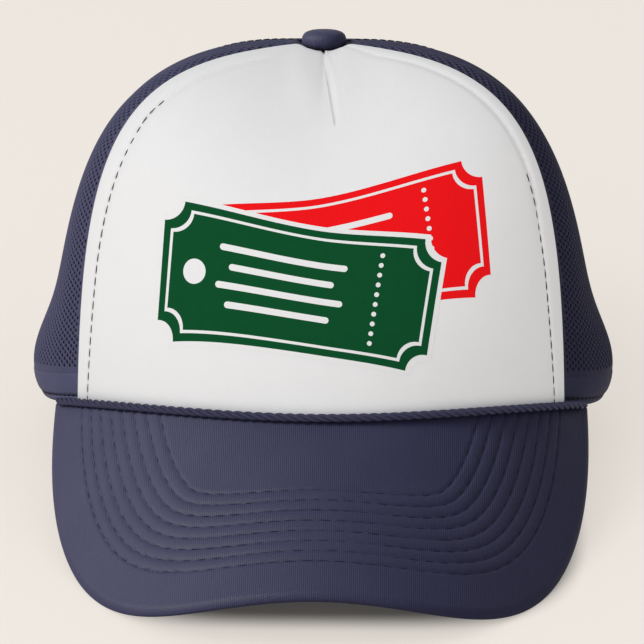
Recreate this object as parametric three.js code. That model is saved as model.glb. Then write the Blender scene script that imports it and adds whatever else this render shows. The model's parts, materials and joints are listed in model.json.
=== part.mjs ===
import * as THREE from "three";

// A five-panel cap with a curved peak, as it rests by itself: a foam front panel, four net panels, a corded
// peak seam, a covered button and a plain strap across the opening at the back.
// Millimetres and degrees. Every piece is shaped in the cap's own frame: X to the side, the brow towards -Y,
// Z up the crown's axis, and z = 0 at the rim's level at the temples and the back. A turn is the angle round the
// rim from the middle of the brow, and a step runs from 0 at the rim to 1 at the top of the crown. The whole cap
// is leaned back in the end until the corners of its peak and its strap stand level.

// Room left between neighbouring pieces.
const gap = 0.3;

// Outline of the crown's outer face where it ends, seen from above.
const rim = {
  halfWidth: 93.2,
  brow: 88,
  back: 100,
  squareness: 1.93,
  arch: 13,
  archSpread: 1.75,
};

// The crown's rise, and the vent at its top, under the button.
const crown = {
  height: 120,
  vent: 3.6,
};

// The slack net swells out over its hem at the temples. The swell is widest at its height, spreads over a share of
// that height, sinks to nothing at the rim within a share of it, and fades to a rest towards the back. A net
// column's close rows reach up until clear of it, and take up at least a share of the column.
const swell = {
  depth: 5.7,
  height: 13.7,
  spread: 1.24,
  footShare: 0.2,
  fadeTurn: 100,
  fadeSpread: 70,
  backRest: 0.15,
  clear: 2.9,
  least: 0.15,
};

// The button pulls the panels down to its seat: level inside the inner radius, and free from the outer one.
const seat = {
  height: 117.35,
  inner: 5,
  outer: 11,
};

// Turns at which the panels are sewn together.
const seams = {
  front: 59.5,
  rear: 120,
};

// Meridians of the crown at four turns. Wall is the lower arm of the curve as a share of the crown's height, lean
// its angle from upright, crest the upper arm as a share of the rim's radius, and fall the slope beside the button.
const meridians = [
  { turn: 0, wall: 0.62, lean: 9, crest: 0.6, fall: 0.3 },
  { turn: seams.front, wall: 0.838, lean: 1.2, crest: 0.797, fall: -0.008 },
  { turn: 90, wall: 0.812, lean: 4.2, crest: 0.69, fall: -0.02 },
  { turn: 180, wall: 0.697, lean: 4.2, crest: 0.81, fall: 0.045 },
];

// Foam front panel. Its side edges are rolled over and sewn down a roll's width in.
const foam = {
  thickness: 3,
  rollWidth: 8,
};

// Cross-section of the rolled edge: the distance in from the seam as a share of the roll's width, and how far the
// face lies back as a share of the foam's thickness.
const roll = [
  { inward: 0, sink: 0.45 },
  { inward: 0.18, sink: 0.14 },
  { inward: 0.5, sink: 0 },
  { inward: 0.85, sink: 0.06 },
  { inward: 1, sink: 0.3 },
  { inward: 1.15, sink: 0.06 },
  { inward: 1.5, sink: 0 },
];
// The roll and its neighbours take up at most this share of the half panel where it narrows to the button.
const rollShare = 0.45;

// The dart that shapes the top of the foam panel, a valley running down from the button.
const dart = {
  turn: 6,
  length: 44,
  halfWidth: 5,
  depth: 1.3,
};

// Cross-section of the dart: the place across as a share of its half width, and the depth as a share of its own.
const valley = [
  { across: -1, depth: 0 },
  { across: -0.4, depth: 0.55 },
  { across: 0, depth: 1 },
  { across: 0.3, depth: 0.25 },
  { across: 1, depth: 0 },
];

// Net panels. Along the front seam the net lies a step behind the foam and comes level further back.
const net = {
  thickness: 1.2,
  seamStep: 1.1,
  stepSpread: 10,
};

// Folded hem under the net.
const hem = {
  height: 9.5,
  thickness: 2,
  proud: 0.3,
};

// Opening at the back, half an ellipse above the rim, and the tape that binds it.
const opening = {
  halfWidth: 47,
  height: 56,
};
const binding = {
  width: 8,
  thickness: 1.8,
  proud: 0.3,
};

// Plastic strap across the opening, sewn on inside the hem. Its lowest edge is flat where the cap rests on it.
const strap = {
  height: 19,
  thickness: 1.6,
  tuck: 12,
  restDepth: 0.4,
};

// Peak: a stiff board covered in cloth. Its length runs forward and down from the brow, its ends are sewn to the
// rim at the tip turn, and its front edge droops to the sides.
const peak = {
  length: 71,
  slope: 33.3,
  thickness: 3.2,
  tipTurn: 66,
  tipWidth: 2.5,
  squareness: 2.4,
  droop: 16.5,
  hollow: 39,
  edgeRound: 0.8,
  underlap: 0.5,
};
// The droop above is measured this far from the middle.
const droopReach = 60;

// Rows of the peak's surface, as shares of the way from the crown to the front edge.
const peakRows = [0, 0.1, 0.22, 0.35, 0.5, 0.65, 0.8, 0.92, 0.975, 1];

// Twisted cord sewn along the foot of the crown, above the peak.
const cord = {
  radius: 1.35,
  endTurn: 65,
  sides: 8,
  steps: 56,
};

// Covered button on top of the crown.
const button = {
  radius: 7.4,
  height: 6.1,
  sides: 24,
};

// Profile of the button: shares of its radius and of its height.
const buttonProfile = [
  { out: 0, up: 0 },
  { out: 0.62, up: 0 },
  { out: 0.85, up: 0.14 },
  { out: 0.97, up: 0.3 },
  { out: 1, up: 0.46 },
  { out: 0.95, up: 0.66 },
  { out: 0.78, up: 0.84 },
  { out: 0.45, up: 0.96 },
  { out: 0, up: 1 },
];

// How finely the surfaces are divided.
const columns = {
  foam: 20,
  side: 11,
  rear: 8,
  arch: 7,
  hem: 20,
  binding: 28,
  strap: 20,
  peak: 34,
};
const rows = {
  foam: 17,
  swell: 6,
  dome: 11,
  seat: 3,
  hem: 3,
  band: 3,
};

const toRadians = Math.PI / 180;

// Even steps from one value to another, ends included.
function spread(from, to, count) {
  return Array.from({ length: count + 1 }, (_, index) => from + ((to - from) * index) / count);
}

// Rises from 0 to 1 with a level start and end.
function ease(value) {
  const share = Math.min(Math.max(value, 0), 1);
  return share * share * (3 - 2 * share);
}

// Finds where a rising function reaches a wanted value.
function solve(rising, wanted, low, high) {
  let from = low;
  let to = high;
  for (let round = 0; round < 40; round += 1) {
    const middle = (from + to) / 2;
    if (rising(middle) < wanted) {
      from = middle;
    } else {
      to = middle;
    }
  }
  return (from + to) / 2;
}

// Point of the rim's outline at a turn, as a superellipse with a short brow half and a longer back half.
function rimPoint(turn) {
  const sine = Math.sin(turn * toRadians);
  const cosine = Math.cos(turn * toRadians);
  const power = 2 / rim.squareness;
  const reach = cosine > 0 ? rim.brow : rim.back;
  const x = rim.halfWidth * Math.sign(sine) * Math.abs(sine) ** power;
  const y = -reach * Math.sign(cosine) * Math.abs(cosine) ** power;
  return new THREE.Vector2(x, y);
}

// Turn at the back where the rim has a given half width.
function backTurn(halfWidth) {
  return 180 - Math.asin((halfWidth / rim.halfWidth) ** (rim.squareness / 2)) / toRadians;
}

// Height of the rim: raised over the brow, level from the temples back.
function rimHeight(turn) {
  const share = Math.min(Math.abs(turn), 90) / 90;
  return rim.arch * (1 - ease(share ** rim.archSpread));
}

// One column of the meridian table, blended between its rows.
function meridianValue(turn, name) {
  const away = Math.abs(turn);
  let value = meridians[0][name];
  for (let row = 1; row < meridians.length; row += 1) {
    const before = meridians[row - 1];
    const after = meridians[row];
    value += (after[name] - before[name]) * ease((away - before.turn) / (after.turn - before.turn));
  }
  return value;
}

// How far the slack net stands out at a height above its rim.
function swellAt(turn, up) {
  const away = Math.abs(turn);
  const temple = ease((away - seams.front) / (90 - seams.front));
  const towardsBack = ease((away - swell.fadeTurn) / swell.fadeSpread);
  const hump = Math.exp(-(((up / swell.height - 1) / swell.spread) ** 2));
  const foot = Math.exp(-((1 / swell.spread) ** 2)) * Math.exp(-up / (swell.footShare * swell.height));
  return swell.depth * temple * (1 - (1 - swell.backRest) * towardsBack) * (hump - foot);
}

// Radius and height of the crown's outer face on one meridian.
function meridianPoint(turn, step) {
  const radius = rimPoint(turn).length();
  const foot = rimHeight(turn);
  const rise = crown.height - foot;
  const lean = meridianValue(turn, "lean") * toRadians;
  const wall = meridianValue(turn, "wall") * rise;
  const crest = meridianValue(turn, "crest") * radius;
  const fall = meridianValue(turn, "fall") * crest;
  const rest = 1 - step;
  const shares = [rest ** 3, 3 * rest * rest * step, 3 * rest * step * step, step ** 3];
  const outs = [radius, radius - wall * Math.sin(lean), crest, 0];
  const ups = [foot, foot + wall * Math.cos(lean), crown.height - fall, crown.height];
  let out = 0;
  let up = 0;
  for (let index = 0; index < 4; index += 1) {
    out += shares[index] * outs[index];
    up += shares[index] * ups[index];
  }
  const free = ease((out - seat.inner) / (seat.outer - seat.inner));
  return new THREE.Vector2(out + swellAt(turn, up - foot), seat.height + (up - seat.height) * free);
}

// Point at an offset outside the crown's outer face, square to its meridian. The foot of a wall is cut level.
function crownPoint(turn, step, offset) {
  const spot = meridianPoint(turn, step);
  const small = 0.001;
  const before = meridianPoint(turn, Math.max(step - small, 0));
  const after = meridianPoint(turn, Math.min(step + small, 1));
  const along = after.sub(before).normalize();
  const square = step > 0 ? new THREE.Vector2(along.y, -along.x) : new THREE.Vector2(1, 0);
  spot.addScaledVector(square, offset);
  const heading = rimPoint(turn).normalize();
  return new THREE.Vector3(heading.x * spot.x, heading.y * spot.x, spot.y);
}

// Step at which a meridian has risen a given height above the rim.
function stepAtHeight(turn, up) {
  const foot = rimHeight(turn);
  return solve((step) => meridianPoint(turn, step).y - foot, up, 0, 1);
}

// Step at which a meridian has come in to a given radius from the axis.
function stepAtRadius(turn, radius) {
  return solve((step) => -meridianPoint(turn, step).x, -radius, 0.5, 1);
}

// Angle of a length measured round the crown at a step.
function angleOf(length, turn, step) {
  return length / meridianPoint(turn, step).x / toRadians;
}

// Turns a triangle list the right way out.
function facingOut(points, triangles) {
  let volume = 0;
  const edge = new THREE.Vector3();
  for (const [a, b, c] of triangles) {
    volume += points[a].dot(edge.crossVectors(points[b], points[c]));
  }
  return volume < 0 ? triangles.map(([a, b, c]) => [a, c, b]) : triangles;
}

// Closed solid between two grids of points of the same size, such as the outer and inner faces of a wall.
function wallBetween(outer, inner) {
  const wide = outer.length;
  const high = outer[0].length;
  const points = [...outer.flat(), ...inner.flat()];
  const at = (side, column, row) => side * wide * high + column * high + row;
  const triangles = [];
  const quad = (a, b, c, d) => triangles.push([a, b, c], [a, c, d]);
  for (let column = 1; column < wide; column += 1) {
    for (let row = 1; row < high; row += 1) {
      quad(at(0, column - 1, row - 1), at(0, column, row - 1), at(0, column, row), at(0, column - 1, row));
      quad(at(1, column - 1, row), at(1, column, row), at(1, column, row - 1), at(1, column - 1, row - 1));
    }
    quad(at(1, column - 1, 0), at(1, column, 0), at(0, column, 0), at(0, column - 1, 0));
    quad(at(0, column - 1, high - 1), at(0, column, high - 1), at(1, column, high - 1), at(1, column - 1, high - 1));
  }
  for (let row = 1; row < high; row += 1) {
    quad(at(0, 0, row - 1), at(0, 0, row), at(1, 0, row), at(1, 0, row - 1));
    quad(at(1, wide - 1, row - 1), at(1, wide - 1, row), at(0, wide - 1, row), at(0, wide - 1, row - 1));
  }
  const geometry = new THREE.BufferGeometry().setFromPoints(points);
  geometry.setIndex(facingOut(points, triangles).flat());
  geometry.computeVertexNormals();
  return geometry;
}

// Wall of the crown over a grid of spots, each with a turn, a step and an offset of its outer face.
function crownWall(spots, thickness) {
  const face = (back) => spots.map((line) => line.map((spot) => crownPoint(spot.turn, spot.step, spot.offset - back)));
  return wallBetween(face(0), face(thickness));
}

// Depth of the dart at a place across it and a distance from the button.
function dartSink(share, radius) {
  return dart.depth * share * (1 - ease(radius / dart.length));
}

// Columns of the foam panel from one side seam to the other. Those of the rolled edges keep their distance from
// the seam, those of the dart converge on the button with the panel, and the others are spread evenly.
function foamColumns() {
  const dartPlace = dart.turn / seams.front;
  const dartReach = dart.halfWidth / (seams.front * toRadians * dart.length);
  const middle = valley.map((row) => ({ place: dartPlace + row.across * dartReach, dartShare: row.depth }));
  const clear = (place) => Math.abs(place - dartPlace) > 1.3 * dartReach;
  const plain = spread(-1, 1, columns.foam).slice(1, -1).filter(clear);
  const inside = [...middle, ...plain.map((place) => ({ place, dartShare: 0 }))];
  inside.sort((one, other) => one.place - other.place);
  const right = [...roll].reverse().map((row) => ({ ...row, side: 1 }));
  const left = roll.map((row) => ({ ...row, side: -1 }));
  return [...left, ...inside, ...right];
}

// Foam panel over the brow.
function frontPanel() {
  const zone = roll[roll.length - 1].inward * foam.rollWidth;
  const free = stepAtRadius(0, seat.outer);
  const steps = [...spread(0, free, rows.foam), ...spread(free, stepAtRadius(0, crown.vent), rows.seat).slice(1)];
  const spots = foamColumns().map((column) =>
    steps.map((step) => {
      const radius = meridianPoint(0, step).x;
      const edge = seams.front - angleOf(gap / 2, seams.front, step);
      const halfArc = edge * toRadians * meridianPoint(seams.front, step).x;
      const squeeze = Math.min(1, (rollShare * halfArc) / zone);
      const inward = (length) => ((length * squeeze) / halfArc) * edge;
      if (column.side) {
        const turn = column.side * (edge - inward(column.inward * foam.rollWidth));
        return { turn, step, offset: -column.sink * foam.thickness * squeeze };
      }
      const turn = column.place * (edge - inward(zone));
      return { turn, step, offset: -dartSink(column.dartShare, radius) };
    }),
  );
  return crownWall(spots, foam.thickness);
}

// How far the net and the hem lie behind the foam's face.
function stepBack(turn) {
  return net.seamStep * (1 - ease((Math.abs(turn) - seams.front) / net.stepSpread));
}

// One column of a net panel, from a height above the rim up to the vent under the button. Its rows are close
// together where the net swells out.
function netColumn(side, turn, bottom, gapSide) {
  const start = stepAtHeight(turn, bottom);
  const free = stepAtRadius(turn, seat.outer);
  const end = stepAtRadius(turn, crown.vent);
  const over = Math.max(stepAtHeight(turn, swell.clear * swell.height), start + swell.least * (free - start));
  const steps = [
    ...spread(start, over, rows.swell),
    ...spread(over, free, rows.dome).slice(1),
    ...spread(free, end, rows.seat).slice(1),
  ];
  return steps.map((step) => {
    const shifted = turn + gapSide * angleOf(gap / 2, turn, step);
    return { turn: side * shifted, step, offset: -stepBack(turn) };
  });
}

// Net panel over the temple.
function sidePanel(side) {
  const turns = spread(seams.front, seams.rear, columns.side);
  const last = turns.length - 1;
  const spots = turns.map((turn, index) => {
    const gapSide = index === 0 ? 1 : index === last ? -1 : 0;
    return netColumn(side, turn, hem.height + gap, gapSide);
  });
  return crownWall(spots, net.thickness);
}

// Net panel at the back, with its share of the opening cut out of its foot.
function rearPanel(side) {
  const reach = opening.halfWidth + binding.width + gap;
  const top = opening.height + binding.width + gap;
  const bottom = hem.height + gap;
  const shoulder = Math.asin(bottom / top);
  const corner = backTurn(reach * Math.cos(shoulder));
  const plain = spread(seams.rear, corner, columns.rear).map((turn) => ({ turn, foot: bottom }));
  const arched = spread(shoulder, Math.PI / 2, columns.arch).slice(1);
  const over = arched.map((angle) => ({ turn: backTurn(reach * Math.cos(angle)), foot: top * Math.sin(angle) }));
  const feet = [...plain, ...over];
  const last = feet.length - 1;
  const spots = feet.map(({ turn, foot }, index) => {
    const gapSide = index === 0 ? 1 : index === last ? -1 : 0;
    return netColumn(side, turn, foot, gapSide);
  });
  return crownWall(spots, net.thickness);
}

// Hem along the foot of the net, from the front seam to the opening's tape.
function hemBand(side) {
  const start = seams.front + angleOf(gap / 2, seams.front, 0);
  const end = backTurn(opening.halfWidth + binding.width + gap);
  const spots = spread(start, end, columns.hem).map((turn) =>
    spread(0, hem.height, rows.hem).map((up) => {
      const step = up > 0 ? stepAtHeight(turn, up) : 0;
      return { turn: side * turn, step, offset: hem.proud - stepBack(turn) };
    }),
  );
  return crownWall(spots, hem.thickness);
}

// Tape round the opening, from foot to foot.
function archBinding() {
  const spots = spread(0, Math.PI, columns.binding).map((angle) =>
    spread(0, binding.width, rows.band).map((out) => {
      const side = Math.cos(angle) < 0 ? -1 : 1;
      const turn = backTurn((opening.halfWidth + out) * Math.abs(Math.cos(angle)));
      const up = (opening.height + out) * Math.sin(angle);
      const step = up > 0.001 ? stepAtHeight(turn, up) : 0;
      return { turn: side * turn, step, offset: binding.proud };
    }),
  );
  return crownWall(spots, binding.thickness);
}

// Grid of one face of the strap, at an offset from the crown's outer face.
function strapFace(offset) {
  const end = backTurn(opening.halfWidth + binding.width + strap.tuck);
  return spread(end, 360 - end, columns.strap).map((turn) => {
    const side = turn > 180 ? -1 : 1;
    const near = side > 0 ? turn : 360 - turn;
    return spread(0, strap.height, rows.band).map((up) => {
      const step = up > 0 ? stepAtHeight(near, up) : 0;
      return crownPoint(side * near, step, offset);
    });
  });
}

// Faces of the strap, just inside the hem.
const strapOuter = strapFace(hem.proud - hem.thickness - gap);
const strapInner = strapFace(hem.proud - hem.thickness - gap - strap.thickness);

// Front edge of the peak at a share from its middle to either tip, and its height there.
function peakEdge(share) {
  const tip = rimPoint(peak.tipTurn);
  const angle = (Math.abs(share) * Math.PI) / 2;
  const power = 2 / peak.squareness;
  const x = (tip.x + peak.tipWidth) * Math.sin(angle) ** power;
  const forward = Math.cos(angle) ** power;
  const front = -(rim.brow + peak.length * Math.cos(peak.slope * toRadians));
  const y = tip.y + (front - tip.y) * forward;
  const tipHeight = rimHeight(peak.tipTurn);
  const middle = rim.arch - peak.length * Math.sin(peak.slope * toRadians);
  const sides = peak.droop * (x / droopReach) ** 2 * forward * forward;
  const bend = peak.hollow * forward * (1 - forward);
  const z = tipHeight + (middle - tipHeight) * forward - sides - bend;
  return new THREE.Vector3(Math.sign(share) * x, y, z);
}

// Point on top of the peak: across from tip to tip, and out from the crown's face to the front edge.
function peakTop(across, out) {
  const turn = across * peak.tipTurn;
  const heading = rimPoint(turn).normalize();
  const root = rimPoint(turn).addScaledVector(heading, peak.underlap);
  const start = new THREE.Vector3(root.x, root.y, rimHeight(turn) - gap);
  return start.lerp(peakEdge(across), out);
}

// One face of the peak. A level strip runs in under the crown's wall, and the front edge is rounded off.
function peakFace(below) {
  return spread(-1, 1, columns.peak).map((across) => {
    const turn = across * peak.tipTurn;
    const heading = rimPoint(turn).normalize();
    const root = rimPoint(turn).addScaledVector(heading, -foam.thickness - peak.underlap);
    const strip = new THREE.Vector3(root.x, root.y, rimHeight(turn) - gap - below);
    const face = peakRows.map((out) => {
      const point = peakTop(across, out);
      const rounding = out === 1 ? peak.edgeRound : 0;
      point.z += below > 0 ? rounding - below : -rounding;
      return point;
    });
    return [strip, ...face];
  });
}

// Faces of the peak.
const peakUpper = peakFace(0);
const peakLower = peakFace(peak.thickness);

// Path of the cord: it lies on the peak and against the foot of the crown.
function cordPoint(turn) {
  const small = 0.01;
  const across = turn / peak.tipTurn;
  const reach = cord.radius + gap;
  const root = peakTop(across, 0);
  const along = peakTop(across, 1).sub(root).normalize();
  const aside = peakTop(across + small, small).sub(peakTop(across - small, small));
  const up = new THREE.Vector3().crossVectors(along, aside).normalize();
  if (up.z < 0) {
    up.negate();
  }
  const heading = rimPoint(turn).normalize();
  const outward = new THREE.Vector3(heading.x, heading.y, 0);
  const bulging = swellAt(turn, 2 * cord.radius) + hem.proud;
  const away = (reach * (1 - up.dot(outward)) + Math.max(bulging, 0) - peak.underlap) / along.dot(outward);
  return root.addScaledVector(along, away).addScaledVector(up, reach);
}

// Cord round the foot of the crown.
function ropeBraid() {
  const path = new THREE.CatmullRomCurve3(spread(-cord.endTurn, cord.endTurn, cord.steps / 2).map(cordPoint));
  const section = new THREE.Shape(
    spread(0, 2 * Math.PI, cord.sides)
      .slice(1)
      .map((angle) => new THREE.Vector2(cord.radius * Math.cos(angle), cord.radius * Math.sin(angle))),
  );
  return new THREE.ExtrudeGeometry(section, { steps: cord.steps, bevelEnabled: false, extrudePath: path });
}

// Button, a lathed dome that bears on the tops of the panels.
function topButton() {
  const profile = buttonProfile.map((row) => new THREE.Vector2(row.out * button.radius, row.up * button.height));
  const dome = new THREE.LatheGeometry(profile, button.sides);
  dome.rotateX(Math.PI / 2);
  dome.translate(0, 0, seat.height + gap);
  return dome;
}

// Height of the lowest of some points once the cap is leaned back.
function lowest(points, lean) {
  return Math.min(...points.map((point) => point.z * Math.cos(lean) - point.y * Math.sin(lean)));
}

// Lean at which the peak's corners stand level with the flat on the strap.
function restingLean() {
  const peakPoints = peakLower.flat();
  const strapPoints = [...strapOuter, ...strapInner].flat();
  const above = (lean) => lowest(peakPoints, lean) - lowest(strapPoints, lean) - strap.restDepth;
  return solve(above, 0, 0, Math.PI / 4);
}

const lean = restingLean();

// Strap, with its lowest edge cut flat on the surface that the cap rests on.
function snapStrap() {
  const floor = lowest([...strapOuter, ...strapInner].flat(), lean) + strap.restDepth;
  const level = (y) => (floor + y * Math.sin(lean)) / Math.cos(lean);
  const cut = (face) =>
    face.map((line) => line.map((point) => new THREE.Vector3(point.x, point.y, Math.max(point.z, level(point.y)))));
  return wallBetween(cut(strapOuter), cut(strapInner));
}

const white = new THREE.MeshStandardMaterial({ color: 0xe9e9ea, roughness: 0.9, metalness: 0 });
const netBlue = new THREE.MeshStandardMaterial({ color: 0x3d3e58, roughness: 0.95, metalness: 0 });
const clothBlue = new THREE.MeshStandardMaterial({ color: 0x444560, roughness: 0.85, metalness: 0 });
const cordBlue = new THREE.MeshStandardMaterial({ color: 0x35364e, roughness: 0.8, metalness: 0 });
const plasticBlue = new THREE.MeshStandardMaterial({ color: 0x2f3048, roughness: 0.45, metalness: 0 });

const pieces = [
  ["front_panel", frontPanel(), white],
  ["side_panel_right", sidePanel(1), netBlue],
  ["side_panel_left", sidePanel(-1), netBlue],
  ["back_panel_right", rearPanel(1), netBlue],
  ["back_panel_left", rearPanel(-1), netBlue],
  ["hem_band_right", hemBand(1), clothBlue],
  ["hem_band_left", hemBand(-1), clothBlue],
  ["arch_binding", archBinding(), clothBlue],
  ["snap_strap", snapStrap(), plasticBlue],
  ["peak", wallBetween(peakUpper, peakLower), clothBlue],
  ["rope_braid", ropeBraid(), cordBlue],
  ["top_button", topButton(), clothBlue],
];

const cap = new THREE.Group();
for (const [name, geometry, material] of pieces) {
  const mesh = new THREE.Mesh(geometry, material);
  mesh.name = name;
  cap.add(mesh);
}
cap.rotation.x = -lean;

// The origin is under the middle of the resting cap.
const resting = new THREE.Group();
resting.add(cap);
const bounds = new THREE.Box3().setFromObject(resting, true);
const middle = bounds.getCenter(new THREE.Vector3());
resting.position.set(-middle.x, -middle.y, -bounds.min.z);

export default resting;
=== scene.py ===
"""Dresses a five-panel cap with a foam front, net sides, a stitched peak and a corded seam.

Shapes are worked out in millimetres in the cap's own frame: X to the side, the brow towards -Y, Z up
the crown's axis, and z = 0 at the rim's level at the temples. A turn is the angle in degrees round the
rim from the middle of the brow, and a step runs from 0 at the rim to 1 at the top of the crown. Placement
puts them where the resting cap stands, in metres.
"""

from __future__ import annotations

import json
import logging
import math
from collections.abc import Callable
from dataclasses import dataclass
from enum import Enum

import bmesh
import bpy
import numpy as np
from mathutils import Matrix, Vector

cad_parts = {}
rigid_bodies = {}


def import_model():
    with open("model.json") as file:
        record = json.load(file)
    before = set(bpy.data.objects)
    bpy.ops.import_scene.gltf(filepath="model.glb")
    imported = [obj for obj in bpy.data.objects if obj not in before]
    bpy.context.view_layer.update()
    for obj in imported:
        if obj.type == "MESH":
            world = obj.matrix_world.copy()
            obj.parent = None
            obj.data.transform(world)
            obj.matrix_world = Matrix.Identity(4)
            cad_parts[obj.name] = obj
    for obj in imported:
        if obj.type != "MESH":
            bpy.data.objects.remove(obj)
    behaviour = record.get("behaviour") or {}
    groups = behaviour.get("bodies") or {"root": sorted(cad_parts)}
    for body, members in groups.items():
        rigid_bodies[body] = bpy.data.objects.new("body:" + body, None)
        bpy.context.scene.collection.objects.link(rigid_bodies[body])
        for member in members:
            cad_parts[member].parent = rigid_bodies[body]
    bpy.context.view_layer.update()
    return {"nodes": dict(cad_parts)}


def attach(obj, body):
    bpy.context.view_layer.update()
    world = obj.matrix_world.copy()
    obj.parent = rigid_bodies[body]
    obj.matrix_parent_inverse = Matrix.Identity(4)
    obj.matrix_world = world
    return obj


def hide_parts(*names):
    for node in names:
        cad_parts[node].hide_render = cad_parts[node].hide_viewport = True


LOG = logging.getLogger("cap")
BODY = "root"
MM = 0.001
SHARP_ANGLE = math.radians(50.0)
HALVINGS = 36
THREAD_LIFT = 0.12

Array = np.ndarray
Object = bpy.types.Object
Material = bpy.types.Material
Socket = bpy.types.NodeSocket
Triple = tuple[float, float, float]
WHITE: Triple = (0.8, 0.8, 0.808)
DIM_WHITE: Triple = (0.76, 0.76, 0.765)


class Slot(Enum):
    """Material slots of the record."""

    FOAM = "foam"
    NET = "net"
    CLOTH = "cloth"
    CORD = "cord"
    STRAP = "strap"


class Side(Enum):
    """Sides of the cap as seen from the front."""

    RIGHT = 1
    LEFT = -1

    @property
    def word(self) -> str:
        """Name of the side in lower case."""
        return self.name.lower()


def ease(value: Array) -> Array:
    """Rises from 0 to 1 with a level start and end."""
    share = np.clip(value, 0.0, 1.0)
    return share * share * (3.0 - 2.0 * share)


def ramp(value: Array, start: float, length: float) -> Array:
    """Rises from 0 to 1 over a length from a start."""
    return ease((value - start) / length)


def bell(distance: Array, width: float) -> Array:
    """A smooth hump of height 1 round distance 0."""
    return np.exp(-((distance / width) ** 2))


def quarter_round(distance: Array, radius: float) -> Array:
    """Drop of a rounded edge: the radius at the very edge, and 0 from one radius inwards."""
    share = 1.0 - np.clip(distance / radius, 0.0, 1.0)
    return radius * (1.0 - np.sqrt(1.0 - share * share))


def solve(rising: Callable[[Array], Array], wanted: Array, low: Array, high: Array) -> Array:
    """Finds where a rising function reaches the wanted values, for whole arrays at once.

    Args:
        rising: Function of an array that rises with it.
        wanted: Values to reach.
        low: Lower bounds.
        high: Upper bounds.

    Returns:
        The places where the function has the wanted values.
    """
    low = np.array(low, dtype=float)
    high = np.array(high, dtype=float)
    for _ in range(HALVINGS):
        middle = (low + high) / 2.0
        below = rising(middle) < wanted
        low = np.where(below, middle, low)
        high = np.where(below, high, middle)
    return (low + high) / 2.0


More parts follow.
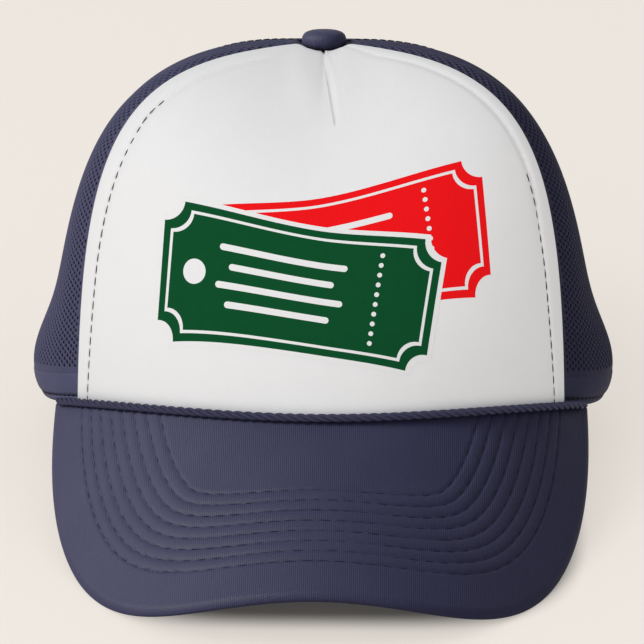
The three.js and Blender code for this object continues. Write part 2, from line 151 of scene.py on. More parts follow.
@dataclass(frozen=True)
class CrownForm:
    """Sizes and shape of the crown's outer face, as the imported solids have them."""

    half_width: float = 93.2
    brow: float = 88.0
    back: float = 100.0
    squareness: float = 1.93
    arch: float = 13.0
    arch_spread: float = 1.75
    height: float = 120.0
    vent: float = 3.6
    swell: float = 5.7
    swell_height: float = 13.7
    swell_spread: float = 1.24
    swell_foot: float = 0.2
    fade_turn: float = 100.0
    fade_spread: float = 70.0
    back_rest: float = 0.15
    seat_height: float = 117.35
    seat_inner: float = 5.0
    seat_outer: float = 11.0
    front_seam: float = 59.5
    rear_seam: float = 120.0
    gap: float = 0.3
    wall: tuple[float, ...] = (0.62, 0.838, 0.812, 0.697)
    lean: tuple[float, ...] = (9.0, 1.2, 4.2, 4.2)
    crest: tuple[float, ...] = (0.6, 0.797, 0.69, 0.81)
    fall: tuple[float, ...] = (0.3, -0.008, -0.02, 0.045)

    def blend(self, turn: Array, values: tuple[float, ...]) -> Array:
        """Blends a value given at the brow, the front seam, the temple and the back.

        Args:
            turn: Turns in degrees.
            values: Values at these four turns.

        Returns:
            The blended values.
        """
        away = np.abs(turn)
        turns = (0.0, self.front_seam, 90.0, 180.0)
        out = np.full_like(away, values[0], dtype=float)
        for row in range(1, len(turns)):
            share = ramp(away, turns[row - 1], turns[row] - turns[row - 1])
            out = out + (values[row] - values[row - 1]) * share
        return out

    def rim_point(self, turn: Array) -> tuple[Array, Array]:
        """Plan position of the rim's outer edge at some turns.

        Args:
            turn: Turns in degrees.

        Returns:
            Places to the side and to the back.
        """
        sine, cosine = np.sin(np.radians(turn)), np.cos(np.radians(turn))
        power = 2.0 / self.squareness
        reach = np.where(cosine > 0, self.brow, self.back)
        x = self.half_width * np.sign(sine) * np.abs(sine) ** power
        y = -reach * np.sign(cosine) * np.abs(cosine) ** power
        return x, y

    def back_turn(self, half_width: Array) -> Array:
        """Turn at the back where the rim has a given half width."""
        return 180.0 - np.degrees(np.arcsin((half_width / self.half_width) ** (self.squareness / 2.0)))

    def rim_height(self, turn: Array) -> Array:
        """Height of the rim, raised over the brow."""
        share = np.minimum(np.abs(turn), 90.0) / 90.0
        return self.arch * (1.0 - ease(share**self.arch_spread))

    def swell_at(self, turn: Array, up: Array) -> Array:
        """How far the slack net stands out at a height above its rim.

        Args:
            turn: Turns in degrees.
            up: Heights in millimetres.

        Returns:
            The swell in millimetres.
        """
        away = np.abs(turn)
        temple = ramp(away, self.front_seam, 90.0 - self.front_seam)
        towards_back = ramp(away, self.fade_turn, self.fade_spread)
        hump = bell(up - self.swell_height, self.swell_spread * self.swell_height)
        foot = bell(1.0, self.swell_spread) * np.exp(-up / (self.swell_foot * self.swell_height))
        return self.swell * temple * (1.0 - (1.0 - self.back_rest) * towards_back) * (hump - foot)

    def meridian(self, turn: Array, step: Array) -> tuple[Array, Array]:
        """Radius and height of the outer face on the meridian of each turn.

        Args:
            turn: Turns in degrees.
            step: Steps from the rim to the top.

        Returns:
            Radius and height.
        """
        turn, step = np.broadcast_arrays(np.asarray(turn, float), np.asarray(step, float))
        radius = np.hypot(*self.rim_point(turn))
        foot = self.rim_height(turn)
        rise = self.height - foot
        lean = np.radians(self.blend(turn, self.lean))
        wall = self.blend(turn, self.wall) * rise
        crest = self.blend(turn, self.crest) * radius
        fall = self.blend(turn, self.fall) * crest
        rest = 1.0 - step
        shares = (rest**3, 3 * rest * rest * step, 3 * rest * step * step, step**3)
        outs = (radius, radius - wall * np.sin(lean), crest, 0.0)
        ups = (foot, foot + wall * np.cos(lean), self.height - fall, self.height)
        out = sum(share * value for share, value in zip(shares, outs))
        up = sum(share * value for share, value in zip(shares, ups))
        free = ramp(out, self.seat_inner, self.seat_outer - self.seat_inner)
        return out + self.swell_at(turn, up - foot), self.seat_height + (up - self.seat_height) * free

    def point(self, turn: Array, step: Array, offset: Array = 0.0) -> Array:
        """Points at an offset outside the outer face, square to their meridians.

        Args:
            turn: Turns in degrees.
            step: Steps from the rim to the top.
            offset: Offset in millimetres.

        Returns:
            The points.
        """
        small = 0.001
        out, up = self.meridian(turn, step)
        before = self.meridian(turn, np.maximum(np.asarray(step) - small, 0.0))
        after = self.meridian(turn, np.minimum(np.asarray(step) + small, 1.0))
        along_out, along_up = after[0] - before[0], after[1] - before[1]
        length = np.hypot(along_out, along_up)
        level = np.asarray(step) <= 0.0
        square_out = np.where(level, 1.0, along_up / length)
        square_up = np.where(level, 0.0, -along_out / length)
        x, y = self.rim_point(np.asarray(turn, float))
        size = np.hypot(x, y)
        out = out + square_out * offset
        return np.stack(np.broadcast_arrays(x / size * out, y / size * out, up + square_up * offset), axis=-1)

    def outward(self, turn: Array, step: Array) -> Array:
        """Unit vectors out of the outer face."""
        away = self.point(turn, step, 1.0) - self.point(turn, step, 0.0)
        return away / np.linalg.norm(away, axis=-1, keepdims=True)

    def line(
        self, turn: Array, step: Array, offset: Array, mirror: Array | Triple = (1.0, 1.0, 1.0)
    ) -> tuple[Array, Array]:
        """Points of a line on the outer face, and the directions out of it."""
        return self.point(turn, step, offset) * mirror, self.outward(turn, step) * mirror

    def step_at_height(self, turn: Array, up: Array) -> Array:
        """Step at which each meridian has risen a given height above the rim.

        Args:
            turn: Turns in degrees.
            up: Heights in millimetres.

        Returns:
            The steps.
        """
        turn, up = np.broadcast_arrays(np.asarray(turn, float), np.asarray(up, float))
        foot = self.rim_height(turn)
        none = np.zeros_like(up)
        found = solve(lambda step: self.meridian(turn, step)[1] - foot, up, none, none + 1.0)
        return np.where(up <= 0.0, 0.0, found)

    def step_at_vent(self, turn: Array) -> Array:
        """Step at which each meridian reaches the vent under the button.

        Args:
            turn: Turns in degrees.

        Returns:
            The steps.
        """
        turn = np.asarray(turn, float)
        low = np.full_like(turn, 0.5)
        return solve(lambda step: -self.meridian(turn, step)[0], -self.vent, low, np.ones_like(turn))

    def angle_of(self, length: Array, turn: Array, step: Array) -> Array:
        """Degrees of turn that a length round the crown takes up."""
        return np.degrees(length / self.meridian(turn, step)[0])


@dataclass(frozen=True)
class FlatMap:
    """Lays flat millimetres on the crown: across from a middle turn, and up along that meridian."""

    form: CrownForm
    middle: float
    samples: int = 600
    least_radius: float = 0.5

    def profile(self) -> tuple[Array, Array, Array]:
        """Steps of the middle meridian, with the radius and the length so far at each.

        Returns:
            The three arrays.
        """
        steps = np.linspace(0.0, 1.0, self.samples)
        out, high = self.form.meridian(np.full_like(steps, self.middle), steps)
        return steps, out, np.concatenate([[0.0], np.cumsum(np.hypot(np.diff(out), np.diff(high)))])

    def spot(self, across: Array, up: Array) -> tuple[Array, Array]:
        """Turn and step of flat places.

        Args:
            across: Distances to the side.
            up: Heights in millimetres.

        Returns:
            Turns and steps.
        """
        steps, out, along = self.profile()
        step = np.interp(up, along, steps)
        radius = np.interp(step, steps, out)
        return self.middle + np.degrees(across / np.maximum(radius, self.least_radius)), step

    def length(self) -> float:
        """Length of the middle meridian."""
        return float(self.profile()[2][-1])


@dataclass(frozen=True)
class Placement:
    """Where the leaned cap stands: the lean in radians and the place of its own origin in millimetres."""

    lean: float
    origin: Array

    @classmethod
    def from_button(cls, node: Object, form: CrownForm) -> Placement:
        """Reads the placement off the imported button, whose axis is the crown's.

        Args:
            node: The button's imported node.
            form: The crown's form.

        Returns:
            The cap's placement.
        """
        corners = np.array([vertex.co for vertex in node.data.vertices]) / MM
        corners = np.unique(corners.round(3), axis=0)
        middle = corners.mean(axis=0)
        _, vectors = np.linalg.eigh(np.cov((corners - middle).T))
        axis = vectors[:, 0] * np.sign(vectors[2, 0])
        foot = (corners @ axis).min()
        base = middle + axis * (foot - middle @ axis)
        origin = base - axis * (form.seat_height + form.gap)
        return cls(math.atan2(axis[1], axis[2]), origin)

    def turned(self, vectors: Array) -> Array:
        """Directions turned with the cap's lean.

        Args:
            vectors: Directions in the cap's own frame.

        Returns:
            The turned directions.
        """
        cosine, sine = math.cos(self.lean), math.sin(self.lean)
        x, y, z = np.moveaxis(np.asarray(vectors, float), -1, 0)
        return np.stack([x, y * cosine + z * sine, z * cosine - y * sine], axis=-1)

    def placed(self, points: Array) -> Array:
        """Points of the cap's own frame where they stand, in metres."""
        return (self.turned(points) + self.origin) * MM


def grid_faces(wide: int, high: int) -> Array:
    """Quads of a grid of points stored column by column.

    Args:
        wide: Columns of points.
        high: Points in each column.

    Returns:
        Corner numbers of each quad.
    """
    column, row = np.meshgrid(np.arange(wide - 1), np.arange(high - 1), indexing="ij")
    first = (column * high + row).ravel()
    return np.stack([first, first + high, first + high + 1, first + 1], axis=1)


def shown(name: str, data: bpy.types.ID) -> Object:
    """Puts new data into the scene as an object.

    Args:
        name: Name of the new data.
        data: The new data.

    Returns:
        The new object.
    """
    made = bpy.data.objects.new(name, data)
    bpy.context.scene.collection.objects.link(made)
    return made


def declare(piece: Object, slot: Slot, *nodes: str) -> None:
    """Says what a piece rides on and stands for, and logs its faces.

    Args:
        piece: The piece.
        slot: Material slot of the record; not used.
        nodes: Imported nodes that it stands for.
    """
    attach(piece, BODY)
    if nodes:
        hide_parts(*nodes)
    LOG.info("%s: %d faces", piece.name, len(piece.data.polygons))


def thicken(sheet: Object, thickness: float) -> None:
    """Gives a sheet a thickness in millimetres below its face.

    Args:
        sheet: The sheet.
        thickness: Its thickness.
    """
    wall = sheet.modifiers.new("wall", "SOLIDIFY")
    wall.thickness = thickness * MM
    wall.offset = -1.0


@dataclass(frozen=True)
class Stitch:
    """Sizes of a row's stitches: their pitch, and the length and the thickness of each thread."""

    pitch: float
    length: float
    thickness: float


class Workshop:
    """Turns arrays into mesh objects that stand in the right place."""

    def __init__(self, placement: Placement) -> None:
        """Keeps the cap's placement, its materials and the tree of its stitches.

        Args:
            placement: Where the cap stands.
        """
        self.placement = placement
        self.finishes = Finishes()
        self.threads = thread_tree()

    def mesh(
        self, name: str, points: Array, faces: list, finish: Material, maps: Array | None = None
    ) -> Object:
        """Makes a smooth mesh object.

        Args:
            name: Name of the object.
            points: Corners in the cap's own frame, in millimetres.
            faces: Corner numbers of each face.
            finish: Material of the piece.
            maps: Flat millimetres of each corner for the UV map, if the finish follows the surface.

        Returns:
            The new object.
        """
        mesh = bpy.data.meshes.new(name)
        faces = [list(map(int, face)) for face in faces]
        mesh.from_pydata(self.placement.placed(points).tolist(), [], faces)
        mesh.materials.append(finish)
        if maps is not None:
            corners = np.empty(len(mesh.loops), dtype=np.int32)
            mesh.loops.foreach_get("vertex_index", corners)
            layer = mesh.uv_layers.new(name="flat")
            layer.data.foreach_set("uv", (maps[corners] * MM).astype(np.float32).ravel())
        mesh.validate()
        mesh.polygons.foreach_set("use_smooth", np.ones(len(mesh.polygons), dtype=bool))
        mesh.set_sharp_from_angle(angle=SHARP_ANGLE)
        return shown(name, mesh)

    def solid(
        self, name: str, points: Array, faces: list, finish: Material, maps: Array | None = None
    ) -> Object:
        """Makes a closed mesh object as mesh does, with its faces outwards.

        Args:
            name: Name of the object.
            points: Points in the cap's own frame.
            faces: Corner numbers of each face.
            finish: Material of the piece.
            maps: Flat millimetres of each corner, if the finish follows the surface.

        Returns:
            The new object.
        """
        if self.volume(points, faces) < 0:
            faces = [face[::-1] for face in faces]
        return self.mesh(name, points, faces, finish, maps)

    def shell(
        self, name: str, outer: Array, inner: Array, finish: Material, maps: Array | None = None
    ) -> Object:
        """Closes two grids of points with as many columns into one wall.

        Args:
            name: Name of the object.
            outer: Outer grid, columns by rows by 3.
            inner: Inner grid, with any number of rows.
            finish: Material of the piece.
            maps: Flat millimetres of the outer grid's points.

        Returns:
            The new object.
        """
        wide, high, low = outer.shape[0], outer.shape[1], inner.shape[1]
        points = np.concatenate([outer.reshape(-1, 3), inner.reshape(-1, 3)])
        base = wide * high
        faces = grid_faces(wide, high).tolist()
        faces += (grid_faces(wide, low)[:, ::-1] + base).tolist()
        for column in range(wide - 1):
            here, there = column * high, (column + 1) * high
            under, beyond = base + column * low, base + (column + 1) * low
            faces.append([under, beyond, there, here])
            faces.append([here + high - 1, there + high - 1, beyond + low - 1, under + low - 1])
        last, last_low = (wide - 1) * high, base + (wide - 1) * low
        faces.append([*range(high), *range(base + low - 1, base - 1, -1)])
        faces.append([*range(last + high - 1, last - 1, -1), *range(last_low, last_low + low)])
        if maps is not None:
            shares = np.linspace(0, 1, low)[:, None]
            flat = maps.reshape(wide, high, 2)
            spare = flat[:, :1] * (1 - shares) + flat[:, -1:] * shares
            maps = np.concatenate([maps.reshape(-1, 2), spare.reshape(-1, 2)])
        return self.solid(name, points, faces, finish, maps)

    @staticmethod
    def volume(points: Array, faces: list) -> float:
        """Signed volume inside some faces, negative where they point in.

        Args:
            points: Points in the cap's own frame.
            faces: Corner numbers of each face.

        Returns:
            The volume, times six.
        """
        total = 0.0
        by_size: dict[int, list] = {}
        for face in faces:
            by_size.setdefault(len(face), []).append(face)
        for group in by_size.values():
            corners = points[np.array(group)]
            for index in range(1, corners.shape[1] - 1):
                cross = np.cross(corners[:, index], corners[:, index + 1])
                total += float(np.einsum("ij,ij->", corners[:, 0], cross))
        return total

    def path(self, name: str, lines: list[tuple[Array, Array]]) -> Object:
        """Makes a mesh of loose lines that keeps the direction out of the surface at each point.

        Args:
            name: Name of the object.
            lines: Points of each line in the cap's own frame, and the directions out of the surface there.

        Returns:
            The new object, which is only the input of a node tree.
        """
        points, outward = (np.concatenate(part) for part in zip(*lines))
        edges, start = [], 0
        for line, _ in lines:
            edges += [(start + index, start + index + 1) for index in range(len(line) - 1)]
            start += len(line)
        mesh = bpy.data.meshes.new(name)
        mesh.from_pydata(self.placement.placed(points).tolist(), edges, [])
        layer = mesh.attributes.new("outward", "FLOAT_VECTOR", "POINT")
        layer.data.foreach_set("vector", self.placement.turned(outward).astype(np.float32).ravel())
        return shown(name, mesh)

    def sew(self, name: str, lines: list[tuple[Array, Array]], finish: Material, stitch: Stitch) -> None:
        """Lays a row of threads along lines.

        Args:
            name: Name of the row.
            lines: Lines as path takes them.
            finish: Material of the thread.
            stitch: Sizes of the stitches.
        """
        row = self.path(name, lines)
        sizes = {"Pitch": stitch.pitch, "Length": stitch.length, "Thickness": stitch.thickness}
        self.threads.grow(row, finish, sizes)
        declare(bake(row), Slot.CLOTH)


class Graph:
    """A node tree under construction."""

    def __init__(self, group: bpy.types.NodeTree) -> None:
        """Keeps the tree that the nodes go into."""
        self.group = group

    def add(self, kind: str, links: dict | None = None, **options) -> bpy.types.Node:
        """Adds a node.

        Args:
            kind: Type name of the node.
            links: Sockets or plain values by input name or number.
            options: Properties of the node.

        Returns:
            The new node.
        """
        node = self.group.nodes.new(kind)
        for key, value in options.items():
            setattr(node, key, value)
        for key, value in (links or {}).items():
            if isinstance(value, Socket):
                self.group.links.new(value, node.inputs[key])
            else:
                node.inputs[key].default_value = value
        return node

    def maths(self, operation: str, first: Socket | float, second: Socket | float = 0.0) -> Socket:
        """Result of a sum on two sockets or numbers."""
        return self.add("ShaderNodeMath", {0: first, 1: second}, operation=operation).outputs[0]


class Tree(Graph):
    """A geometry node tree under construction."""

    def __init__(self, name: str, *numbers: str) -> None:
        """Starts a tree with a geometry output, and inputs for a geometry, some numbers and a material.

        Args:
            name: Name of the tree.
            numbers: Names of its number inputs.
        """
        super().__init__(bpy.data.node_groups.new(name, "GeometryNodeTree"))
        self.group.interface.new_socket("Geometry", in_out="OUTPUT", socket_type="NodeSocketGeometry")
        kinds = {"Geometry": "Geometry"} | dict.fromkeys(numbers, "Float") | {"Material": "Material"}
        self.names = {}
        for given, kind in kinds.items():
            socket = self.group.interface.new_socket(given, in_out="INPUT", socket_type=f"NodeSocket{kind}")
            self.names[given] = socket.identifier
        self.inputs = self.group.nodes.new("NodeGroupInput")

    def given(self, name: str) -> Socket:
        """Output of the group's input node with this name."""
        return self.inputs.outputs[name]

    def scaled(self, vector: Socket, factor: Socket) -> Socket:
        """A vector times a number."""
        return self.add("ShaderNodeVectorMath", {0: vector, "Scale": factor}, operation="SCALE").outputs[0]

    def walk(self, step: str) -> tuple[bpy.types.Node, bpy.types.Node, bpy.types.Node]:
        """Steps evenly along the given lines.

        Args:
            step: Name of the input that holds the length of a step.

        Returns:
            The nodes of the even points, of the lines' tangent and of the direction out of the surface.
        """
        curve = self.add("GeometryNodeMeshToCurve", {"Mesh": self.given("Geometry")})
        even = {"Curve": curve.outputs[0], "Length": self.given(step)}
        points = self.add("GeometryNodeResampleCurve", even, mode="LENGTH")
        tangent = self.add("GeometryNodeInputTangent")
        outward = self.add("GeometryNodeInputNamedAttribute", {"Name": "outward"}, data_type="FLOAT_VECTOR")
        return points, tangent, outward

    def end(self, geometry: Socket) -> None:
        """Ends the tree in realized instances and a material.

        Args:
            geometry: Geometry that the tree has made.
        """
        real = self.add("GeometryNodeRealizeInstances", {"Geometry": geometry})
        smooth = self.add("GeometryNodeSetShadeSmooth", {"Geometry": real.outputs[0]})
        look = {"Geometry": smooth.outputs[0], "Material": self.given("Material")}
        dressed = self.add("GeometryNodeSetMaterial", look)
        out = self.group.nodes.new("NodeGroupOutput")
        self.group.links.new(dressed.outputs[0], out.inputs[0])

    def grow(self, target: Object, finish: Material, sizes: dict[str, float], unit: float = MM) -> None:
        """Puts the tree on an object as a modifier and sets its inputs by identifier.

        Args:
            target: Object that the tree works on.
            finish: Material of the result.
            sizes: Numbers by the names of their inputs.
            unit: Metres in a size of 1.
        """
        modifier = target.modifiers.new(self.group.name, "NODES")
        modifier.node_group = self.group
        modifier[self.names["Material"]] = finish
        for name, size in sizes.items():
            modifier[self.names[name]] = size * unit


def bake(target: Object) -> Object:
    """Replaces an object's modifiers with their result as a plain mesh.

    Args:
        target: The object.

    Returns:
        The same object.
    """
    graph = bpy.context.evaluated_depsgraph_get()
    graph.update()
    mesh = bpy.data.meshes.new_from_object(target.evaluated_get(graph), depsgraph=graph)
    target.modifiers.clear()
    old = target.data
    target.data = mesh
    bpy.data.meshes.remove(old)
    return target


def thread_tree() -> Tree:
    """Builds the tree that lays one thread on each step of a line.

    Returns:
        The tree.
    """
    tree = Tree("stitch_row", "Pitch", "Length", "Thickness")
    points, tangent, outward = tree.walk("Pitch")
    align = "FunctionNodeAlignRotationToVector"
    along = tree.add(align, {"Vector": tangent.outputs[0]}, axis="Z")
    turned = {"Rotation": along.outputs[0], "Vector": outward.outputs[0]}
    facing = tree.add(align, turned, axis="X", pivot_axis="Z")
    grain = tree.add("GeometryNodeMeshUVSphere", {"Segments": 8, "Rings": 5, "Radius": 0.5})
    thick = tree.given("Thickness")
    size = tree.add("ShaderNodeCombineXYZ", {0: thick, 1: thick, 2: tree.given("Length")})
    laid = {"Points": points, "Instance": grain, "Rotation": facing, "Scale": size}
    laid = {name: node.outputs[0] for name, node in laid.items()}
    tree.end(tree.add("GeometryNodeInstanceOnPoints", laid).outputs[0])
    return tree


class Shader(Graph):
    """A principled material under construction."""

    def __init__(self, name: str, color: Triple, roughness: float, shine: float = 0.5) -> None:
        """Starts a material with a plain colour, a roughness and a level of its mirroring.

        Args:
            name: Name of the material.
            color: Plain colour.
            roughness: Roughness.
            shine: Level of its mirroring.
        """
        self.material = bpy.data.materials.new(name)
        self.material.use_nodes = True
        super().__init__(self.material.node_tree)
        self.body = self.group.nodes["Principled BSDF"]
        self.body.inputs["Base Color"].default_value = (*color, 1.0)
        self.body.inputs["Roughness"].default_value = roughness
        self.body.inputs["Specular IOR Level"].default_value = shine

    def flat(self) -> Socket:
        """Flat metres of the piece's own UV map."""
        return self.add("ShaderNodeUVMap", uv_map="flat").outputs[0]

    def object_place(self) -> Socket:
        """Object coordinates in metres."""
        return self.add("ShaderNodeTexCoord").outputs["Object"]

    def wave(self, place: Socket, pitch: float, turned: float, distortion: float) -> Socket:
        """Bands with a pitch in millimetres, turned by some degrees from upright.

        Args:
            place: Coordinates in metres.
            pitch: Pitch in millimetres.
            turned: Degrees from upright.
            distortion: How far the bands waver.

        Returns:
            The bands, from 0 to 1.
        """
        rotation = (0.0, 0.0, math.radians(turned))
        mapping = self.add("ShaderNodeMapping", {"Vector": place, "Rotation": rotation})
        bands = {
            "Vector": mapping.outputs[0],
            "Scale": 2.0 * math.pi / (20.0 * pitch * MM),
            "Distortion": distortion,
            "Detail": 1.0,
            "Detail Scale": 2.0,
        }
        return self.add("ShaderNodeTexWave", bands, wave_profile="SIN").outputs["Fac"]

    def noise(self, place: Socket, size: float, detail: float = 3.0) -> Socket:
        """Noise with features of a size in millimetres."""
        speckle = {"Vector": place, "Scale": 1.0 / (size * MM), "Detail": detail}
        return self.add("ShaderNodeTexNoise", speckle).outputs["Fac"]

    def blend(self, *parts: tuple[Socket, float]) -> Socket:
        """Sum of some sockets, each by its weight.

        Args:
            parts: Sockets with their weights.

        Returns:
            The sum.
        """
        total, *rest = [self.maths("MULTIPLY", part, weight) for part, weight in parts]
        for part in rest:
            total = self.maths("ADD", total, part)
        return total

    def tint(self, factor: Socket, low: Triple, high: Triple) -> None:
        """Colours the surface between two colours by a factor."""
        mixed = self.add("ShaderNodeMix", {0: factor, 6: (*low, 1.0), 7: (*high, 1.0)}, data_type="RGBA")
        self.group.links.new(mixed.outputs[2], self.body.inputs["Base Color"])

    def bump(self, height: Socket, depth: float, strength: float) -> None:
        """Raises the surface by a height from 0 to 1 over a depth in millimetres."""
        node = self.add("ShaderNodeBump", {"Height": height, "Distance": depth * MM, "Strength": strength})
        self.group.links.new(node.outputs[0], self.body.inputs["Normal"])


@dataclass(frozen=True)
class TricotFinish:
    """White brushed tricot over foam."""

    color: Triple = WHITE
    shade: Triple = DIM_WHITE
    rib: float = 0.75

    def make(self) -> Material:
        """Builds the material.

        Returns:
            The material.
        """
        shader = Shader("tricot", self.color, 0.92, 0.2)
        flat = shader.flat()
        ribs = shader.wave(flat, self.rib, 0.0, 0.6)
        nap = shader.noise(flat, 0.5)
        soft = shader.noise(flat, 9.0, 2.0)
        shader.tint(shader.maths("MULTIPLY_ADD", soft, 0.6), self.shade, self.color)
        shader.bump(shader.maths("ADD", shader.maths("MULTIPLY", ribs, 0.5), nap), 0.05, 0.6)
        return shader.material


@dataclass(frozen=True)
class TwillFinish:
    """Navy cotton twill with fine upright threads."""

    name: str = "twill"
    color: Triple = (0.0265, 0.0263, 0.0585)
    shade: Triple = (0.0185, 0.0184, 0.042)
    thread: float = 0.62
    slant: float = 0.0
    relief: float = 0.095
    shine: float = 0.1

    def make(self) -> Material:
        """Builds the material.

        Returns:
            The material.
        """
        shader = Shader(self.name, self.color, 0.5, self.shine)
        flat = shader.flat()
        warp = shader.wave(flat, self.thread, self.slant, 1.2)
        weft = shader.wave(flat, self.thread * 0.8, self.slant + 90.0, 1.2)
        grain = shader.blend((warp, 0.75), (weft, 0.35), (shader.noise(flat, 1.6), 0.7))
        worn = shader.blend((grain, 0.35), (shader.noise(flat, 14.0), 0.5))
        shader.tint(worn, self.shade, self.color)
        shader.bump(grain, self.relief, 0.8)
        return shader.material


@dataclass(frozen=True)
class YarnFinish:
    """Navy yarn of the net, the cord or the thread, with fine twisted fibres."""

    name: str
    color: Triple
    shade: Triple
    fibre: float
    shine: float = 0.12
    depth: float = 0.08
    roughness: float = 0.5

    def make(self) -> Material:
        """Builds the material.

        Returns:
            The material.
        """
        shader = Shader(self.name, self.color, self.roughness, self.shine)
        place = shader.object_place()
        fibres = shader.wave(place, self.fibre, 38.0, 3.0)
        mixed = shader.blend((fibres, 0.5), (shader.noise(place, 1.1, 4.0), 0.6))
        shader.tint(mixed, self.shade, self.color)
        shader.bump(mixed, self.depth, 0.7)
        return shader.material


@dataclass(frozen=True)
class PlasticFinish:
    """Smooth navy plastic of the strap, rubbed lighter in places."""

    color: Triple = (0.028, 0.03, 0.062)
    rubbed: Triple = (0.04, 0.042, 0.078)

    def make(self) -> Material:
        """Builds the material.

        Returns:
            The material.
        """
        shader = Shader("strap_plastic", self.color, 0.42)
        place = shader.object_place()
        shader.tint(shader.noise(place, 12.0, 4.0), self.color, self.rubbed)
        shader.bump(shader.noise(place, 0.7, 2.0), 0.02, 0.5)
        return shader.material


@dataclass(frozen=True)
class InkFinish:
    """Matte ink printed on the tricot, with its ribs showing through."""

    name: str
    color: Triple
    thin: Triple

    def make(self) -> Material:
        """Builds the material.

        Returns:
            The material.
        """
        shader = Shader(self.name, self.color, 0.8, 0.1)
        flat = shader.flat()
        ribs = shader.wave(flat, TricotFinish.rib, 0.0, 0.6)
        patchy = shader.noise(flat, 3.0, 4.0)
        faded = shader.maths("MULTIPLY", shader.maths("MULTIPLY_ADD", ribs, 0.3), patchy)
        shader.tint(faded, self.color, self.thin)
        shader.bump(ribs, 0.04, 0.6)
        return shader.material


@dataclass(frozen=True)
class FloorFinish:
    """Pale floor with painted light: its emission keeps shadows on it pale, and drops to paint a contact
    shadow under the cap.
    """

    tint: Triple = (1.0, 0.945, 0.88)
    diffuse: float = 0.3
    # Strength of the floor's emission: painted light that lifts the shadows on it.
    painted_glow: float = 0.615
    # Share of the emission kept in the painted contact shadow under the cap.
    painted_shadow_share: float = 0.1
    shade_middle: float = 3.0
    shade_width: float = 79.0
    shade_front: float = -109.0
    shade_back: float = 95.0
    fade: float = 0.07

    def make(self) -> Material:
        """Builds the material.

        Returns:
            The material.
        """
        red, green, blue = (self.diffuse * part for part in self.tint)
        shader = Shader("pale_floor", (red, green, blue), 0.95, 0.1)
        # Painted contact shadow: a rounded oval under the cap, sized by the shade_ fields, where the emission
        # falls.
        place = shader.add("ShaderNodeSeparateXYZ", {0: shader.object_place()})
        middle = (self.shade_front + self.shade_back) / 2.0
        length = (self.shade_back - self.shade_front) / 2.0
        fourths = []
        for axis, centre, half in ((0, self.shade_middle, self.shade_width), (1, middle, length)):
            away = shader.maths("SUBTRACT", place.outputs[axis], centre * MM)
            share = shader.maths("ABSOLUTE", shader.maths("DIVIDE", away, half * MM))
            fourths.append(shader.maths("POWER", share, 4.0))
        reach = shader.maths("POWER", shader.maths("ADD", *fourths), 0.25)
        glows = (self.painted_shadow_share * self.painted_glow, self.painted_glow)
        limits = dict(enumerate((reach, 1.0 - self.fade, 1.0 + self.fade, *glows)))
        # Emission strength: painted light outside the oval, painted shadow inside it.
        strength = shader.add("ShaderNodeMapRange", limits, interpolation_type="SMOOTHSTEP").outputs[0]
        shader.body.inputs["Emission Color"].default_value = (*self.tint, 1.0)
        shader.group.links.new(strength, shader.body.inputs["Emission Strength"])
        return shader.material


class Finishes:
    """All materials of the cap."""

    def __init__(self) -> None:
        """Builds each material once."""
        self.tricot = TricotFinish().make()
        self.twill = TwillFinish().make()
        bright, dim = (0.031, 0.0305, 0.064), (0.023, 0.0226, 0.05)
        self.button_cloth = TwillFinish("button_cloth", bright, dim, relief=0.1).make()
        bright, dim = (0.037, 0.037, 0.075), (0.0275, 0.0275, 0.058)
        self.hem_cloth = TwillFinish("hem_cloth", bright, dim, 0.8, 35.0, 0.09, 0.04).make()
        bright, dim = (0.0325, 0.0325, 0.0665), (0.0235, 0.0235, 0.05)
        self.net_yarn = YarnFinish("net_yarn", bright, dim, 0.4, 0.04).make()
        self.cord_yarn = YarnFinish("cord_yarn", (0.066, 0.065, 0.118), (0.045, 0.045, 0.085), 0.45).make()
        self.thread = YarnFinish("thread", (0.018, 0.018, 0.044), (0.011, 0.011, 0.028), 0.3).make()
        bright, dim = (0.008, 0.008, 0.02), (0.005, 0.005, 0.012)
        self.dark_thread = YarnFinish("dark_thread", bright, dim, 0.3).make()
        self.plastic = PlasticFinish().make()

    def navy(self) -> list[Material]:
        """Materials of the navy cloth, net, cord and threads."""
        cloths = [self.twill, self.button_cloth, self.hem_cloth]
        return cloths + [self.net_yarn, self.cord_yarn, self.thread, self.dark_thread]


